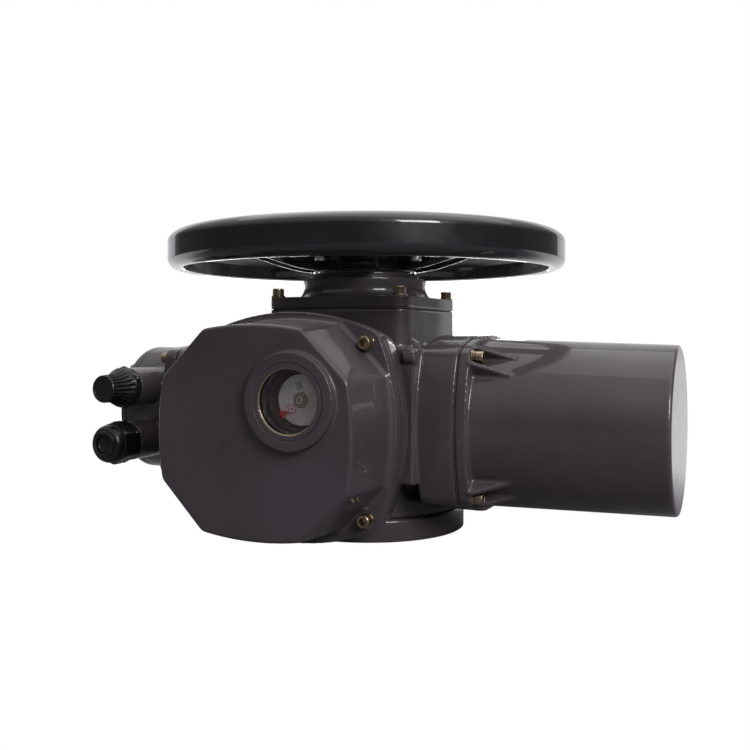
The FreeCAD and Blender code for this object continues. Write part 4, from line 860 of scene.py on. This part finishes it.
def glands():
    """Upper gland with a ribbed blanking cap, lower gland with a dome nut and a plug."""
    upper_z, lower_z = AXIS_Z + GLAND_RISE, AXIS_Z - GLAND_RISE
    cap_y = GLAND_SEAT[1] - GLAND_CAP_START
    lower = (GLAND_SEAT[0], cap_y, lower_z)
    piece("upper_gland_hexagon", [gland_body(upper_z, 17.2)], "housing", "gland_plastic",
          ("upper_gland_body",))
    piece("lower_gland_hexagon", [gland_body(lower_z, 16.4)], "housing", "gland_plastic",
          ("lower_gland_body",))
    piece("ribbed_cap", [placed(ribbed_cap(), (GLAND_SEAT[0], cap_y, upper_z), FRONT)],
          "housing", "gland_plastic", ("upper_gland_cap",))
    piece("dome_nut", [placed(dome_nut(), lower, FRONT)], "housing", "gland_plastic",
          ("lower_gland_nut",))
    plug = [(0.02, 0), (7.6, 0), (7.9, 0.4), (7.9, 8.8), (7.3, 9.6), (5.6, 9.9), (5.2, 9.4),
            (4.9, 9.4), (3.6, 10.0), (0.02, 10.0)]
    piece("blanking_plug", [placed(ring_stack(plug, 96), stood_off(lower, FRONT, 13.5), FRONT)],
          "housing", "gland_plastic", ("lower_gland_plug",))


# ---------------------------------------------------------------- window
DIAL_Y = -180.5
DIAL_R = 18.2
DIAL_FACE_Y = DIAL_Y - 1.5
RING_SEAT_Y = WINDOW[1] + 2.0
PANE_SEAT_Y = WINDOW[1] + 5.5
TUBE_ROOT_Y = -152.0


def window():
    """Sight glass in its ring, the lined tube behind it and the dial at the tube's end."""
    x, _, z = WINDOW
    rim = soften([(23.4, 0), (26.6, 0), (26.6, 1.95), (23.4, 1.95)], 0.15, 3, closed=True)
    piece("sight_ring", [placed(ring_stack(rim, 128, closed=True), (x, RING_SEAT_Y, z), FRONT)],
          "housing", "machined_steel", ("window_ring",), material=MATERIALS["cover_paint"])
    edge = soften([(22.5, 0), (23.4, 0), (23.4, 1.3), (22.5, 0.7)], 0.15, 3, closed=True)
    piece("sight_ring_edge", [placed(ring_stack(edge, 128, closed=True), (x, RING_SEAT_Y, z), FRONT)],
          "housing", "machined_steel", material=MATERIALS["screw_steel"])
    pane = soften([(0.02, 0), (26.5, 0), (26.5, 3.5), (0.02, 3.5)], 0.3, 3)
    piece("sight_pane", [placed(ring_stack(pane, 128), (x, PANE_SEAT_Y, z), FRONT)], "housing",
          "sight_glass", ("window_glass",))
    liner = soften([(20.2, 0), (20.85, 0), (20.85, 38.5), (20.2, 38.5)], 0.3, 3, closed=True)
    piece("tube_liner", [placed(ring_stack(liner, 96, closed=True), (x, TUBE_ROOT_Y, z), FRONT)],
          "housing", "dial_plastic", material=INK["primer"])
    disc = soften([(1.6, 0), (DIAL_R, 0), (DIAL_R, 1.5), (1.6, 1.5)], 0.3, 3, closed=True)
    piece("printed_dial", [placed(ring_stack(disc, 128, closed=True), (x, DIAL_Y, z), FRONT)],
          "dial", "dial_plastic", ("position_dial",))
    boss = soften([(2.0, 0), (5.6, 0), (5.6, 0.9), (2.0, 0.9)], 0.3, 3, closed=True)
    piece("dial_washer", [placed(ring_stack(boss, 64, closed=True), (x, DIAL_FACE_Y, z), FRONT)],
          "dial", "screw_steel")
    piece("centre_screw", [cap_screw((x, DIAL_FACE_Y - 0.9, z), FRONT, 3.0, 1.5, 1.45, 2.4)],
          "dial", "screw_steel", ("dial_screw",), material=MATERIALS["zinc"])
    dial_marks(x, DIAL_FACE_Y, z)


def dial_marks(x, y, z):
    """Printed marks: a green and a pink one on the dial, a fixed red pointer beside it."""
    def plate(outline, thickness=0.12):
        return loft([[(a, b, 0) for a, b in outline], [(a, b, thickness) for a, b in outline]])

    def spot(dx, dz, dy=0.0):
        return (x + dx, y + dy, z + dz)

    def quad(half_a, half_b):
        return [(-half_a, -half_b), (half_a, -half_b), (half_a, half_b), (-half_a, half_b)]

    bars = []
    for i in range(4):
        tilt = math.radians(15 + 90 * i)
        centre = (-7.3 + 2.7 * math.cos(tilt), -6.6 + 2.7 * math.sin(tilt))
        bars.append(placed(plate(quad(0.45, 3.1)), spot(*centre), FRONT, turn=tilt))
    dot = placed(ring_stack([(1.0, 0), (1.0, 0.14)], 24), spot(-7.3, -6.6), FRONT)
    piece("pink_mark", bars + [dot], "dial", "dial_plastic", material=INK["ink_pink"])
    piece("green_mark", [placed(plate(quad(2.6, 3.0)), spot(-1.6, 10.4), FRONT, turn=0.35)],
          "dial", "dial_plastic", material=INK["ink_green"])
    arrow = [(-3.9, 2.9), (3.9, 2.7), (-0.6, -3.4)]
    piece("red_pointer", [placed(plate(arrow, 0.5), spot(-12.4, -10.9, -2.2), FRONT)], "housing",
          "dial_plastic", material=INK["ink_red"])


# ---------------------------------------------------------------- handwheel
RIM_TOP = 256.9
SPOKE_COUNT = 5
SPOKE_PHASE = 1.3
PLATE_LOW, PLATE_HIGH = 235.5, 241.0
HUB_SCREW_PITCH_R = 68.0
HUB_SCREW_PHASE = 45.3
STEM_CAP_TOP = 253.0
SPOKE_LINE = [(40.0, 222.5, 235.2), (56.0, 224.3, 235.2), (64.0, 225.7, 235.2),
              (76.0, 229.0, 235.2), (84.0, 231.4, 237.2), (94.0, 234.6, 242.2),
              (108.0, 238.6, 246.9), (130.0, 244.0, 251.0), (158.0, 250.6, 255.2)]
SPOKE_HALF = 17.0
SPOKE_RIB = 3.0               # the ribs along the underside of a spoke
SPOKE_HOLLOW = 4.0            # and the depth of the hollow between them


def spoke(angle):
    """Channel-shaped spoke that climbs from the hub to the top of the rim."""
    sections = []
    inner = SPOKE_HALF - SPOKE_RIB
    for reach, low, high in SPOKE_LINE:
        roof = low + min(SPOKE_HOLLOW, (high - low) * 0.5)
        outline = soften([(-SPOKE_HALF, low), (-inner, low), (-inner, roof), (inner, roof),
                          (inner, low), (SPOKE_HALF, low), (SPOKE_HALF, high),
                          (-SPOKE_HALF, high)], 1.2, 4, closed=True)
        sections.append([(reach * math.cos(angle) - across * math.sin(angle),
                          reach * math.sin(angle) + across * math.cos(angle), height)
                         for across, height in outline])
    return loft(sections)


def handwheel():
    """Cast wheel with its spokes, the bare plate on its hub, the plate's screws and a cap."""
    lower = arc((166.0, 233.0), (9.0, 9.0), -120, 0, 16)
    upper = arc((160.0, 247.0), (15.0, 9.9), 0, 90, 20)
    inner = soften([(160.0, RIM_TOP), (156.0, RIM_TOP - 0.6), (155.0, RIM_TOP - 5), (155.0, 247.0),
                    (161.5, 240.0), (161.5, 225.21)], 3.0, 6)[1:-1]
    rim = ring_stack(lower + upper + inner, 320, closed=True)
    wheel = build("cast_wheel", [rim])
    hub = soften([(29, 222), (46, 222), (46, PLATE_LOW), (29, PLATE_LOW)], 1.2, 4, closed=True)
    arms = [spoke(math.radians(SPOKE_PHASE + 360 / SPOKE_COUNT * i)) for i in range(SPOKE_COUNT)]
    cut(wheel, [ring_stack(hub, 128, closed=True)] + arms, "UNION")
    finish_piece(wheel, "hand_wheel", "wheel_paint", ("handwheel",), angle=38.0)
    places = [around(HUB_SCREW_PITCH_R, HUB_SCREW_PHASE + 360 / SPOKE_COUNT * i, PLATE_LOW)
              for i in range(SPOKE_COUNT)]
    disc = soften([(26, PLATE_LOW), (80, PLATE_LOW), (80, PLATE_HIGH), (26, PLATE_HIGH)], 0.8, 3,
                  closed=True)
    plate = build("hub_disc", [ring_stack(disc, 192, closed=True)])
    cut(plate, [drill((x, y, z - 5.5), 3.0, 20, 32) for x, y, z in places])
    finish_piece(plate, "hand_wheel", "zinc", ("hub_plate",), MATERIALS["cast_aluminium"])
    piece("hub_cap_screws", [cap_screw(p, DOWN, shank=5.0, turn=0.8 * i)
                             for i, p in enumerate(places)],
          "hand_wheel", "zinc", ("hub_screws",))
    dome = soften([(27, PLATE_HIGH), (32, PLATE_HIGH), (32, STEM_CAP_TOP), (0.02, STEM_CAP_TOP)],
                  3.5, 6)
    inside = [(0.02, 249), (27, 249)]
    piece("stem_cover", [ring_stack(dome + inside, 128, closed=True)], "hand_wheel",
          "gland_plastic", ("stem_cap",))


# ---------------------------------------------------------------- the rest of the CAD nodes
PAINTED_OVER = ("cover_gasket", "motor_gasket", "terminal_gasket", "top_gasket")


def dress_nodes():
    """Procedural materials for the CAD nodes; the paint on the casing covers its gaskets."""
    for part in frame["record"]["subparts"]:
        slot = "body_paint" if part["node"] in PAINTED_OVER else part["material_slot"]
        for mesh_slot in frame["nodes"][part["node"]].material_slots:
            mesh_slot.material = MATERIALS[slot]


camera()
room()
studio()
floor()
bpy.context.scene.view_settings.view_transform = "Standard"
dress_nodes()
castings()
turned_castings()
fasteners()
glands()
window()
handwheel()
